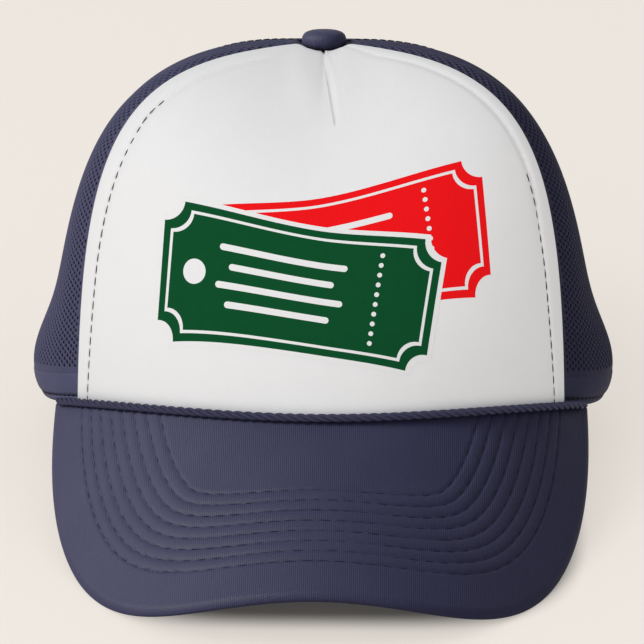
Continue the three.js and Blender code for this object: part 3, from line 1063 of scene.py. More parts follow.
@dataclass
class FoamPanel:
    """White front panel: rolled and topstitched edges, a dart under the button and a soft drape."""

    form: CrownForm
    thickness: float = 3.0
    roll_width: float = 8.0
    roll_puff: float = 0.12
    foot_taper: float = 0.2
    foot_reach: float = 45.0
    right_taper: float = 0.2
    right_start: float = 62.0
    right_reach: float = 25.0
    edge_drop: float = 1.1
    edge_round: float = 2.6
    groove: float = 0.85
    groove_width: float = 0.55
    loose_groove: float = 0.3
    foot_dip: float = 0.15
    crown_dip: float = 0.45
    dip_width: float = 1.8
    dip_aside: float = 0.8
    stitch: Stitch = Stitch(3.9, 3.0, 0.33)
    sewn_left: float = 0.575
    sewn_right: float = 0.36
    dart_turn: float = 6.0
    dart_length: float = 47.0
    dart_depth: float = 1.3
    dart_left: float = 2.9
    dart_right: float = 0.95
    dart_taper: float = 26.0
    dart_fold: float = 0.9
    dart_fold_width: float = 0.36
    dart_ridge: float = 0.15
    drape: float = 0.16
    puff: float = 1.0
    puff_aside: float = 5.5
    puff_out: float = 26.0
    puff_reach: float = 15.0
    steepness: float = 1.15

    def edge_turn(self, step: Array) -> Array:
        """Turn of the panel's side edge."""
        seam = self.form.front_seam
        return seam - self.form.angle_of(self.form.gap / 2, np.full_like(step, seam), step)

    def squeeze(self, step: Array) -> Array:
        """How much the rolled edge narrows at its foot and where the panel runs up to the button.

        Args:
            step: Steps from the rim to the top.

        Returns:
            Factors up to 1.
        """
        seam = np.full_like(step, self.form.front_seam)
        radius, up = self.form.meridian(seam, step)
        half_arc = np.radians(self.edge_turn(step)) * radius
        taper = 1.0 - self.foot_taper * (1.0 - ease(up / self.foot_reach))
        return np.minimum(taper, 0.45 * half_arc / (1.5 * self.roll_width))

    def edge_scale(self, step: Array) -> tuple[Array, Array]:
        """Turn of the side edge, and the degrees that a millimetre of the full roll takes up there.

        Args:
            step: Steps from the rim to the top.

        Returns:
            Turns, and degrees for each millimetre.
        """
        edge = self.edge_turn(step)
        seam = np.full_like(step, self.form.front_seam)
        half_arc = np.radians(edge) * self.form.meridian(seam, step)[0]
        return edge, self.squeeze(step) / half_arc * edge

    def inward(self, turn: Array, step: Array) -> Array:
        """Distance from the nearer side edge, in millimetres of the full roll."""
        away = np.radians(self.edge_turn(step) - np.abs(turn))
        return away * self.form.meridian(turn, step)[0] / self.squeeze(step)

    def dart_relief(self, turn: Array, out: Array) -> Array:
        """Valley of the dart: a soft slope on its left, a crisp fold low in it and a ridge on its right.

        Args:
            turn: Turns in degrees.
            out: Distances from the axis or the edge.

        Returns:
            The dart's share of the offset.
        """
        share = np.clip(out / self.dart_length, 0.0, 1.0)
        bottom = math.sin(math.radians(self.dart_turn)) * self.dart_length * share**1.6
        aside = np.radians(turn) * out - bottom
        tight = np.clip(out / self.dart_taper, 0.25, 1.0)
        slope = bell(aside / tight, np.where(aside < 0, self.dart_left, self.dart_right))
        ridge = self.dart_ridge * bell(aside / tight - 1.7, 1.2)
        along = ramp(share, 0.25, 0.35) * (1.0 - ramp(share, 0.93, 0.07))
        fold = self.dart_fold * bell(aside, self.dart_fold_width) * along
        return self.dart_depth * (1.0 - share**4) * (ridge - 0.7 * slope) - fold

    def relief(self, turn: Array, step: Array) -> Array:
        """Offset of the panel's face from the crown's smooth form.

        Args:
            turn: Turns in degrees.
            step: Steps from the rim to the top.

        Returns:
            Offsets in millimetres.
        """
        squeeze = self.squeeze(step)
        out, up = self.form.meridian(turn, step)
        right = turn > 0
        distance = np.maximum(self.inward(turn, step), 0.0)
        narrowed = ramp(up, self.right_start, self.right_reach)
        distance = distance / (1.0 - self.right_taper * narrowed * right)
        roll = -quarter_round(distance, self.edge_round) * self.edge_drop / self.edge_round
        roll = roll + self.roll_puff * np.sin(np.pi * np.clip(distance / self.roll_width, 0.0, 1.0))
        loose = ramp(step, np.where(right, self.sewn_right, self.sewn_left), 0.1)
        pucker = 0.75 + 0.25 * np.cos(2.0 * np.pi * up / self.stitch.pitch)
        pucker = pucker * (1.0 - (1.0 - self.loose_groove) * loose)
        sewn = -self.groove * pucker * bell(distance - self.roll_width, self.groove_width)
        dip = (self.foot_dip + self.crown_dip * ramp(up, 50.0, 40.0)) * (1.0 - 0.5 * ramp(step, 0.7, 0.2))
        sewn = sewn - dip * bell(distance - self.roll_width - self.dip_aside, self.dip_width)
        across = np.radians(turn) * out
        drape = self.drape * np.sin(0.085 * across + 0.4) * np.sin(0.07 * up + 1.1)
        aside = bell(np.abs(across) - self.puff_aside, self.puff_aside)
        drape = drape + self.puff * aside * bell(out - self.puff_out, self.puff_reach)
        soft = drape * ease(distance / 12.0)
        return roll * squeeze + sewn * np.sqrt(squeeze) + self.dart_relief(turn, out) + soft

    def build(self, shop: Workshop) -> None:
        """Builds the panel and its topstitching.

        Args:
            shop: Maker of the meshes.
        """
        form = self.form
        fine = ((0.0, 2.8, 12), (3.4, 6.4, 6), (6.8, 9.2, 14), (9.8, 11.4, 3))
        rolled = np.concatenate([np.linspace(*part) for part in fine])
        dart_share = self.dart_turn / form.front_seam
        middle = np.concatenate([np.linspace(-1, 1, 96), dart_share + np.linspace(-0.09, 0.12, 45)])
        middle = np.unique(middle.round(4))[1:-1]
        steps = np.linspace(0.0, 1.0, 190) * float(form.step_at_vent(np.array([0.0]))[0])
        edge, scale = self.edge_scale(steps)
        left = [-(edge - inward * scale) for inward in rolled]
        inside = [share * (edge - 1.5 * self.roll_width * scale) for share in middle]
        right = [edge - inward * scale for inward in rolled[::-1]]
        turns = np.array(left + inside + right)
        grid = np.broadcast_to(steps, turns.shape)
        outer = form.point(turns, grid, self.relief(turns, grid))
        rough = [*range(0, len(steps), 7), len(steps) - 1]
        inner = form.point(turns[:, rough], grid[:, rough], -self.thickness)
        out, up = form.meridian(turns, grid)
        maps = np.stack([np.radians(turns) * out, up * self.steepness], axis=-1)
        panel = shop.shell("foam_front", outer, inner, shop.finishes.tricot, maps)
        declare(panel, Slot.FOAM, "front_panel")
        lines = []
        for side, last in ((1.0, self.sewn_right), (-1.0, self.sewn_left)):
            steps = np.linspace(0.004, last, 160)
            edge, scale = self.edge_scale(steps)
            turn = side * (edge - self.roll_width * scale)
            lines.append(form.line(turn, steps, self.relief(turn, steps) + THREAD_LIFT))
        shop.sew("front_topstitch", lines, shop.finishes.thread, self.stitch)


@dataclass
class NetPanels:
    """Open net of the sides and the back, with whole cloth along its seams."""

    form: CrownForm
    pitch_across: float = 1.72
    pitch_up: float = 2.28
    hole: float = 0.52
    thickness: float = 0.9
    ridge: float = 0.09
    border: float = 2.2
    seam_step: float = 1.1
    step_spread: float = 10.0
    hem_height: float = 9.5
    hem_lap: float = 1.6
    foam_lap: float = 1.2
    arch_half_width: float = 55.3
    arch_height: float = 64.3
    weld: float = 0.02
    middle_gap: float = 0.02
    whole_top: float = 12.0
    spare_width: float = 8.0
    stitch: Stitch = Stitch(3.2, 2.4, 0.4)
    stitch_gap: float = 1.2

    @staticmethod
    def cell_tree() -> Tree:
        """Builds the tree that opens the marked cells of a sheet, with a sunk rim to each.

        Returns:
            The tree.
        """
        tree = Tree("net_cells", "Hole", "Ridge")
        marked = tree.add("GeometryNodeInputNamedAttribute", {"Name": "open"}, data_type="BOOLEAN")
        sheet = {"Mesh": tree.given("Geometry"), "Selection": marked.outputs[0]}
        level = {"Offset Scale": 0.0, "Individual": True}
        cells = tree.add("GeometryNodeExtrudeMesh", sheet | level, mode="FACES")
        top = {"Selection": cells.outputs["Top"]}
        small = {"Geometry": cells.outputs["Mesh"], "Scale": tree.given("Hole")}
        shrunk = tree.add("GeometryNodeScaleElements", small | top, domain="FACE")
        normal = tree.add("GeometryNodeInputNormal")
        sink = tree.scaled(normal.outputs[0], tree.maths("MULTIPLY", tree.given("Ridge"), -1.0))
        sunk = tree.add("GeometryNodeSetPosition", {"Geometry": shrunk.outputs[0], "Offset": sink} | top)
        opened = tree.add("GeometryNodeDeleteGeometry", {"Geometry": sunk.outputs[0]} | top, domain="FACE")
        tree.end(opened.outputs[0])
        return tree

    def step_back(self, turn: Array) -> Array:
        """How far the net lies behind the foam's face."""
        return self.seam_step * (1.0 - ramp(np.abs(turn), self.form.front_seam, self.step_spread))

    def cells(self, low: float, high: float, arched: bool) -> tuple[Array, Array, Array]:
        """Six-sided cells over a panel, cut off at its seams, its hem and the opening's tape.

        Args:
            low: Turn of the panel's front seam.
            high: Turn of its rear seam.
            arched: True where the opening takes a share of the panel's foot.

        Returns:
            Turns and steps of each cell's corners, and which cells are open.
        """
        form = self.form
        flat = FlatMap(form, (low + high) / 2.0)
        length = flat.length()
        reach = math.radians(high - low) / 2.0 * form.back + self.spare_width
        rows = np.arange(0, int(length / self.pitch_up) + 2)
        columns = np.arange(-int(reach / self.pitch_across) - 1, int(reach / self.pitch_across) + 2)
        column, row = np.meshgrid(columns, rows, indexing="ij")
        across = (column * self.pitch_across).ravel()
        up = ((row + 0.5 * (column % 2)) * self.pitch_up).ravel()
        corner_x = np.array([2.0, 1.0, -1.0, -2.0, -1.0, 1.0]) * self.pitch_across / 3.0
        corner_y = np.array([0.0, 1.0, 1.0, 0.0, -1.0, -1.0]) * self.pitch_up / 2.0
        turn, step = flat.spot(across[:, None] + corner_x, up[:, None] + corner_y)
        middle_turn, middle_step = flat.spot(across, up)
        lap = -self.middle_gap if arched else -self.foam_lap
        low_edge = low + form.angle_of(lap, turn, step) * ease(form.meridian(turn, step)[0] / 20.0)
        high_edge = high - form.angle_of(self.middle_gap, turn, step)
        foot = form.step_at_height(np.clip(turn, low, high), self.hem_height - self.hem_lap)
        vent = form.step_at_vent(np.clip(turn, low, high))
        inside = (turn > low_edge) & (turn < high_edge) & (step > foot) & (step < vent)
        radius = form.meridian(middle_turn, middle_step)[0]
        margin = np.degrees(self.border / np.maximum(radius, 1.0))
        foot_middle = form.step_at_height(middle_turn, self.hem_height + self.border)
        opened = (middle_turn > low + margin) & (middle_turn < high - margin) & (middle_step > foot_middle)
        opened &= radius > self.whole_top
        turn = np.clip(turn, low_edge, high_edge)
        step = np.clip(step, foot, vent)
        if arched:
            turn, step, kept, clear = self.cut_arch(turn, step, middle_turn, middle_step)
            inside &= kept
            opened &= clear
        keep = inside.any(axis=1)
        return turn[keep], step[keep], opened[keep]

    def cut_arch(self, turn: Array, step: Array, middle_turn: Array, middle_step: Array) -> tuple[Array, ...]:
        """Pushes corners inside the opening out to its tape, and says which cells lie clear of it.

        Args:
            turn: Turns in degrees.
            step: Steps from the rim to the top.
            middle_turn: Turns of the cells' middles.
            middle_step: Steps of the cells' middles.

        Returns:
            Turns, steps, which corners were left alone, and which cells lie clear.
        """
        form = self.form

        def share(at_turn: Array, at_step: Array) -> tuple[Array, Array, Array]:
            """Places off the middle and over the rim, and their reach, which is 1 at the tape."""
            x = np.abs(form.rim_point(at_turn)[0])
            up = form.meridian(at_turn, at_step)[1] - form.rim_height(at_turn)
            return x, up, np.hypot(x / self.arch_half_width, up / self.arch_height)

        x, up, reach = share(turn, step)
        within = reach < 1.0
        safe = np.maximum(reach, 0.05)
        pushed_turn = form.back_turn(np.minimum(x / safe, form.half_width * 0.98))
        pushed_step = form.step_at_height(pushed_turn, up / safe)
        centre = share(middle_turn, middle_step)[2]
        clear = centre > 1.0 + self.border / self.arch_half_width
        return np.where(within, pushed_turn, turn), np.where(within, pushed_step, step), ~within, clear

    def panel(self, shop: Workshop, tree: Tree, side: Side, arched: bool) -> None:
        """Builds one panel of net.

        Args:
            shop: Maker of the meshes.
            tree: Tree that opens the cells.
            side: Side of the cap.
            arched: True for a back panel, False for a side panel.
        """
        form = self.form
        place = "back" if arched else "side"
        low, high = (form.rear_seam, 180.0) if arched else (form.front_seam, form.rear_seam)
        turn, step, opened = self.cells(low, high, arched)
        points = form.point(turn, step, -self.step_back(turn))
        points[..., 0] *= side.value
        flat_points = points.reshape(-1, 3)
        keys = (flat_points / self.weld).round().astype(np.int64)
        keys, index = np.unique(keys, axis=0, return_inverse=True)
        corners = np.zeros((len(keys), 3))
        corners[index.ravel()] = flat_points
        faces, marks = [], []
        for face, mark in zip(index.reshape(-1, 6).tolist(), opened.tolist()):
            ring = [corner for place_in, corner in enumerate(face) if corner != face[place_in - 1]]
            if len(set(ring)) == len(ring) and len(ring) > 2:
                faces.append(ring[::-1] if side is Side.LEFT else ring)
                marks.append(mark and len(ring) == 6)
        sheet = shop.mesh(f"net_{place}_{side.word}", corners, faces, shop.finishes.net_yarn)
        layer = sheet.data.attributes.new("open", "BOOLEAN", "FACE")
        layer.data.foreach_set("value", np.array(marks, dtype=bool))
        tree.grow(sheet, shop.finishes.net_yarn, {"Hole": self.hole, "Ridge": self.ridge * MM}, 1.0)
        thicken(sheet, self.thickness)
        declare(bake(sheet), Slot.NET, f"{place}_panel_{side.word}")

    def build(self, shop: Workshop) -> None:
        """Builds the four net panels and the stitching of their seams.

        Args:
            shop: Maker of the meshes.
        """
        tree = self.cell_tree()
        for side in Side:
            for arched in (False, True):
                self.panel(shop, tree, side, arched)
        lines = []
        rear, away = self.form.rear_seam, self.stitch_gap
        seams = ((rear - away, 0.09, 120), (rear + away, 0.09, 120), (180.0 - away, 0.5, 70))
        for turn, start, count in seams:
            for side in Side:
                steps = np.linspace(start, 0.95, count)
                turns = np.full_like(steps, turn)
                lines.append(self.form.line(turns, steps, THREAD_LIFT, (side.value, 1.0, 1.0)))
        shop.sew("net_seam_stitch", lines, shop.finishes.thread, self.stitch)


@dataclass
class Hem:
    """Folded hem under the net, sewn near its foot."""

    form: CrownForm
    net: NetPanels
    height: float = 9.5
    thickness: float = 2.0
    proud: float = 0.3
    foot_round: float = 1.2
    foot_drop: float = 0.6
    top_round: float = 0.7
    top_drop: float = 0.25
    groove: float = 0.5
    groove_width: float = 0.5
    wave: float = 0.05
    stitch_height: float = 2.2
    stitch: Stitch = Stitch(3.0, 2.4, 0.5)

    def face(self, turn: Array, up: Array) -> Array:
        """Offset of the hem's outer face from the crown's form, level with the net along its top.

        Args:
            turn: Turns in degrees.
            up: Heights in millimetres.

        Returns:
            Offsets in millimetres.
        """
        proud = self.proud * (1.0 - 0.55 * bell(self.height - up, 2.4))
        rounded = -self.foot_drop * quarter_round(up, self.foot_round)
        rounded = rounded - self.top_drop * quarter_round(self.height - up, self.top_round)
        arc = np.radians(turn) * self.form.half_width
        pucker = 0.8 + 0.2 * np.cos(2 * np.pi * arc / self.stitch.pitch)
        sewn = -self.groove * bell(up - self.stitch_height, self.groove_width) * pucker
        wavy = self.wave * np.sin(arc * 0.32) * ease(up / 4.0)
        return proud - self.net.step_back(turn) + rounded + sewn + wavy

    def build(self, shop: Workshop) -> None:
        """Builds the hem of both sides and its stitching.

        Args:
            shop: Maker of the meshes.
        """
        form = self.form
        seam = np.array([form.front_seam])
        start = form.front_seam + float(form.angle_of(form.gap / 2, seam, np.zeros(1))[0])
        end = float(form.back_turn(np.array([self.net.arch_half_width]))[0])
        fine = ((0.0, 1.2, 6), (1.5, 3.4, 9), (4.0, 8.3, 6), (8.6, self.height, 5))
        ups = np.concatenate([np.linspace(*part) for part in fine])
        turn, up = np.broadcast_arrays(np.linspace(start, end, 460)[:, None], ups[None, :])
        step = form.step_at_height(turn, up)
        maps = np.stack([np.radians(turn) * form.half_width, up], axis=-1)
        rough = [0, 8, 17, len(ups) - 1]
        back = self.proud - self.thickness - self.net.step_back(turn[:, rough])
        back = back + 0.5 * (up[:, rough] <= 0.0)
        line_turn = np.linspace(start + 0.5, end - 0.5, 300)
        line_up = np.full_like(line_turn, self.stitch_height)
        line_step = form.step_at_height(line_turn, line_up)
        lines = []
        for side in Side:
            mirror = (side.value, 1.0, 1.0)
            outer = form.point(turn, step, self.face(turn, up)) * mirror
            inner = form.point(turn[:, rough], step[:, rough], back) * mirror
            band = shop.shell(f"hem_{side.word}", outer, inner, shop.finishes.hem_cloth, maps)
            declare(band, Slot.CLOTH, f"hem_band_{side.word}")
            lines.append(form.line(line_turn, line_step, self.face(line_turn, line_up) + THREAD_LIFT, mirror))
        shop.sew("hem_stitch", lines, shop.finishes.dark_thread, self.stitch)


@dataclass
class BackOpening:
    """Tape round the opening at the back, and the strap across it."""

    form: CrownForm
    half_width: float = 47.0
    height: float = 56.0
    tape_width: float = 8.0
    tape_thickness: float = 1.8
    proud: float = 0.3
    edge_round: float = 0.9
    edge_drop: float = 0.5
    groove: float = 0.28
    groove_width: float = 0.45
    row_inset: float = 1.6
    stitch: Stitch = Stitch(3.0, 2.2, 0.42)
    strap_height: float = 19.0
    strap_thickness: float = 1.6
    strap_offset: float = -2.0
    strap_tuck: float = 12.0
    strap_round: float = 0.6

    @staticmethod
    def mirror(left: Array) -> Array:
        """Factors that put points on the left side where told."""
        side = np.where(left, -1.0, 1.0)
        return np.stack([side, np.ones_like(side), np.ones_like(side)], axis=-1)

    def spots(self, angle: Array, out: Array) -> tuple[Array, Array, Array]:
        """Turn, step and mirror of places round the opening, by the angle and the distance from its edge.

        Args:
            angle: Angles round the opening.
            out: Distances from the axis or the edge.

        Returns:
            Turns, steps and mirrors.
        """
        turn = self.form.back_turn((self.half_width + out) * np.abs(np.cos(angle)))
        up = (self.height + out) * np.sin(angle)
        step = self.form.step_at_height(turn, np.where(up < 0.001, 0.0, up))
        return turn, step, self.mirror(np.cos(angle) < 0)

    def offset(self, out: Array) -> Array:
        """Height of the tape's face over the crown's form.

        Args:
            out: Distances from the axis or the edge.

        Returns:
            Offsets in millimetres.
        """
        far = self.tape_width - out
        sewn = sum(bell(place - self.row_inset, self.groove_width) for place in (out, far))
        rounded = self.edge_drop * quarter_round(np.minimum(out, far), self.edge_round)
        return self.proud - rounded - self.groove * sewn

    def tape(self, shop: Workshop) -> None:
        """Builds the tape and its two rows of stitches.

        Args:
            shop: Maker of the meshes.
        """
        outs = np.linspace(0.0, self.tape_width, 37)[None, :]
        angle, out = np.broadcast_arrays(np.linspace(0.0, math.pi, 260)[:, None], outs)
        turn, step, mirror = self.spots(angle, out)
        outer = self.form.point(turn, step, self.offset(out)) * mirror
        rough = [0, 12, 24, 36]
        under = self.form.point(turn[:, rough], step[:, rough], self.proud - self.tape_thickness)
        maps = np.stack([angle * self.height, out], axis=-1)
        inner = under * mirror[:, rough]
        tape = shop.shell("opening_tape", outer, inner, shop.finishes.hem_cloth, maps)
        declare(tape, Slot.CLOTH, "arch_binding")
        lines = []
        along = np.linspace(0.03, math.pi - 0.03, 240)
        for place in (self.row_inset, self.tape_width - self.row_inset):
            out = np.full_like(along, place)
            turn, step, mirror = self.spots(along, out)
            lines.append(self.form.line(turn, step, self.offset(out) + THREAD_LIFT, mirror))
        shop.sew("tape_stitch", lines, shop.finishes.thread, self.stitch)

    def strap(self, shop: Workshop) -> None:
        """Builds the strap, with rounded edges and its flat at the level that the cap rests on.

        Args:
            shop: Maker of the meshes.
        """
        form = self.form
        end = float(form.back_turn(np.array([self.half_width + self.tape_width + self.strap_tuck]))[0])
        high = self.strap_height
        fine = ((0.0, self.strap_round, 5), (1.5, high - 1.5, 9), (high - self.strap_round, high, 5))
        ups = np.concatenate([np.linspace(*part) for part in fine])[None, :]
        turn, up = np.broadcast_arrays(np.linspace(end, 360.0 - end, 180)[:, None], ups)
        near = np.where(turn > 180.0, 360.0 - turn, turn)
        step = form.step_at_height(near, up)
        mirror = self.mirror(turn > 180.0)
        rounded = quarter_round(np.minimum(up, high - up), self.strap_round)
        faces = []
        for offset in (-rounded, rounded - self.strap_thickness):
            face = form.point(near, step, self.strap_offset + offset) * mirror
            faces.append(self.seated(shop.placement, face))
        declare(shop.shell("back_strap", *faces, shop.finishes.plastic), Slot.STRAP, "snap_strap")

    @staticmethod
    def seated(placement: Placement, points: Array) -> Array:
        """Lifts what would lie below the surface that the cap rests on.

        Args:
            placement: Where the cap stands.
            points: Points in the cap's own frame.

        Returns:
            The lifted points.
        """
        low = -placement.origin[2]
        floor = (low + points[..., 1] * math.sin(placement.lean)) / math.cos(placement.lean)
        lifted = points.copy()
        lifted[..., 2] = np.maximum(points[..., 2], floor)
        return lifted


@dataclass
class Peak:
    """Curved peak: rows of stitches run round it at an even distance from its rounded edge."""

    form: CrownForm
    length: float = 71.0
    slope: float = 33.3
    thickness: float = 3.2
    tip_turn: float = 66.0
    tip_width: float = 2.5
    squareness: float = 2.4
    droop: float = 16.5
    droop_reach: float = 60.0
    hollow: float = 39.0
    underlap: float = 0.5
    tuck: float = 3.5
    first_row: float = 13.2
    row_pitch: float = 4.06
    row_count: int = 8
    row_fan: float = 0.25
    corner: float = 2.6
    groove: float = 0.42
    groove_width: float = 0.42
    bulge: float = 0.14
    half_round: float = 118.0
    steepness: float = 1.12
    edge_left: float = 0.08
    row_shift: float = 0.37
    stitch: Stitch = Stitch(5.0, 3.5, 0.26)

    def edge(self, across: Array) -> Array:
        """Front edge at shares from the middle to either tip.

        Args:
            across: Shares from the middle, 0, to either tip.

        Returns:
            Points of the edge.
        """
        form = self.form
        tip_x, tip_y = (float(value) for value in form.rim_point(np.array(self.tip_turn)))
        angle = np.abs(across) * math.pi / 2.0
        power = 2.0 / self.squareness
        x = (tip_x + self.tip_width) * np.sin(angle) ** power
        forward = np.abs(np.cos(angle)) ** power
        front = -(form.brow + self.length * math.cos(math.radians(self.slope)))
        y = tip_y + (front - tip_y) * forward
        tip_height = float(form.rim_height(np.array(self.tip_turn)))
        middle = form.arch - self.length * math.sin(math.radians(self.slope))
        sides = self.droop * (x / self.droop_reach) ** 2 * forward * forward
        z = tip_height + (middle - tip_height) * forward - sides - self.hollow * forward * (1.0 - forward)
        return np.stack([np.sign(across) * x, y, z], axis=-1)

    def root(self, across: Array, inset: float) -> Array:
        """Foot of the peak at the crown, an inset further in.

        Args:
            across: Shares from the middle, 0, to either tip.
            inset: How far further in.

        Returns:
            Points of the foot.
        """
        turn = across * self.tip_turn
        x, y = self.form.rim_point(turn)
        size = np.hypot(x, y)
        reach = (size + self.underlap - inset) / size
        return np.stack([x * reach, y * reach, self.form.rim_height(turn) - self.form.gap], axis=-1)

    def top(self, across: Array, out: Array) -> Array:
        """Points of the smooth top face, without its stitching.

        Args:
            across: Shares from the middle, 0, to either tip.
            out: Shares from the crown to the front edge.

        Returns:
            The points.
        """
        across, out = np.broadcast_arrays(np.asarray(across, float), np.asarray(out, float))
        share = out[..., None]
        return self.root(across, 0.0) * (1.0 - share) + self.edge(across) * share

    def edge_distance(self, points: Array) -> tuple[Array, Array]:
        """Measures how far points lie from the front edge.

        Args:
            points: Points of the top face.

        Returns:
            The plain distance, and the one that the rows follow, which rounds their corners and fans them out
            at the sides.
        """
        line = self.edge(np.linspace(-1.0, 1.0, 900))
        steps = np.gradient(line, axis=0)
        lengths = np.linalg.norm(steps, axis=1)
        flat = points.reshape(-1, 3)
        plain, rounded, sideways = (np.empty(len(flat)) for _ in range(3))
        for start in range(0, len(flat), 4000):
            part = slice(start, start + 4000)
            gaps = np.linalg.norm(flat[part, None] - line[None], axis=2)
            nearest = gaps.argmin(axis=1)
            apart = flat[part] - line[nearest]
            along = (apart * steps[nearest]).sum(axis=1) / lengths[nearest]
            along = np.clip(along, -lengths[nearest], lengths[nearest])
            least = np.sqrt(np.maximum((apart**2).sum(axis=1) - along**2, 0.0))
            weight = (np.exp((least[:, None] - gaps) / self.corner) * lengths).sum(axis=1)
            usual = np.sqrt(2.0 * math.pi * self.corner * np.maximum(least, self.corner))
            plain[part] = least
            rounded[part] = least - self.corner * np.log(np.maximum(weight / usual, 1.0))
            sideways[part] = (line[nearest, 0] - flat[part, 0]) / np.maximum(least, 1e-6)
        beyond = np.maximum(rounded - self.first_row, 0.0)
        fanned = np.minimum(rounded, self.first_row) + beyond / (1.0 + self.row_fan * sideways**6)
        return plain.reshape(points.shape[:-1]), fanned.reshape(points.shape[:-1])

    def row_places(self) -> Array:
        """Distances of the stitch rows from the edge."""
        return self.first_row + self.row_pitch * np.arange(self.row_count)

    def relief(self, distance: Array, along: Array) -> Array:
        """Height of the stitched cloth over the smooth face.

        Args:
            distance: Distances from the edge.
            along: Lengths along the rows.

        Returns:
            Offsets in millimetres.
        """
        rows = self.row_places()
        out = np.zeros_like(distance)
        for number, place in enumerate(rows):
            pucker = 0.85 + 0.15 * np.cos(2.0 * np.pi * (along / self.stitch.pitch + self.row_shift * number))
            out -= self.groove * pucker * bell(distance - place, self.groove_width)
        between = np.clip((distance - rows[0]) / self.row_pitch, 0.0, self.row_count - 1.0)
        return out + self.bulge * np.sin(np.pi * between) ** 2

    @staticmethod
    def normals(grid: Array) -> Array:
        """Unit normals of a grid of points, upwards.

        Args:
            grid: Grid of points.

        Returns:
            The normals.
        """
        cross = np.cross(np.gradient(grid, axis=0), np.gradient(grid, axis=1))
        cross = cross / np.maximum(np.linalg.norm(cross, axis=-1, keepdims=True), 1e-9)
        return cross * np.where(cross[..., 2:] < 0, -1.0, 1.0)

    def build(self, shop: Workshop) -> None:
        """Builds the peak and its rows of stitches, above and below.

        Args:
            shop: Maker of the meshes.
        """
        across = np.linspace(-1.0, 1.0, 330)[:, None]
        outs = np.concatenate([np.linspace(0.0, 0.965, 132), 1.0 - 0.03 * np.linspace(1, 0, 12) ** 1.7])
        smooth = self.top(across, outs[None, :])
        distance, fanned = self.edge_distance(smooth)
        along = np.abs(np.broadcast_to(across, distance.shape)) * self.half_round
        raised = self.normals(smooth) * self.relief(fanned, along)[..., None]
        rounding = self.thickness / 2.0
        drop = np.minimum(quarter_round(distance, rounding), rounding - self.edge_left)
        face, below = smooth + raised, smooth - raised
        face[..., 2] -= drop
        below[..., 2] -= self.thickness - drop
        strip = self.root(across, self.underlap + self.tuck)
        outer = np.concatenate([strip, face], axis=1)
        inner = np.concatenate([strip, below], axis=1)[:, ::2]
        inner[:, 0, 2] -= self.thickness
        inner[:, -1] = below[:, -1]
        maps = np.stack([outer[..., 0], outer[..., 1] * self.steepness], axis=-1)
        peak = shop.shell("stitched_peak", outer, inner, shop.finishes.twill, maps)
        declare(peak, Slot.CLOTH, "peak")
        self.sew(shop)

    def sew(self, shop: Workshop) -> None:
        """Lays the threads of the stitch rows on both faces.

        Args:
            shop: Maker of the meshes.
        """
        outs = np.linspace(0.01, 0.999, 220)
        smooth = self.top(np.linspace(-0.995, 0.995, 420)[:, None], outs[None, :])
        distance = self.edge_distance(smooth)[1]
        normal = self.normals(smooth)
        depth = self.groove * 0.85 - 0.05
        lines = []
        for place in self.row_places():
            for lift, under in ((-depth, 0.0), (depth, self.thickness)):
                line, away = [], []
                for column, profile in enumerate(distance):
                    if profile.max() < place:
                        continue
                    spot = float(np.interp(-place, -profile, outs))
                    index = int(np.clip(np.searchsorted(outs, spot), 1, len(outs) - 1))
                    share = (spot - outs[index - 1]) / (outs[index] - outs[index - 1])
                    point = smooth[column, index - 1] * (1 - share) + smooth[column, index] * share
                    line.append(point + normal[column, index] * lift - (0.0, 0.0, under))
                    away.append(normal[column, index])
                lines.append((np.array(line), np.array(away)))
        shop.sew("peak_stitch", lines, shop.finishes.thread, self.stitch)


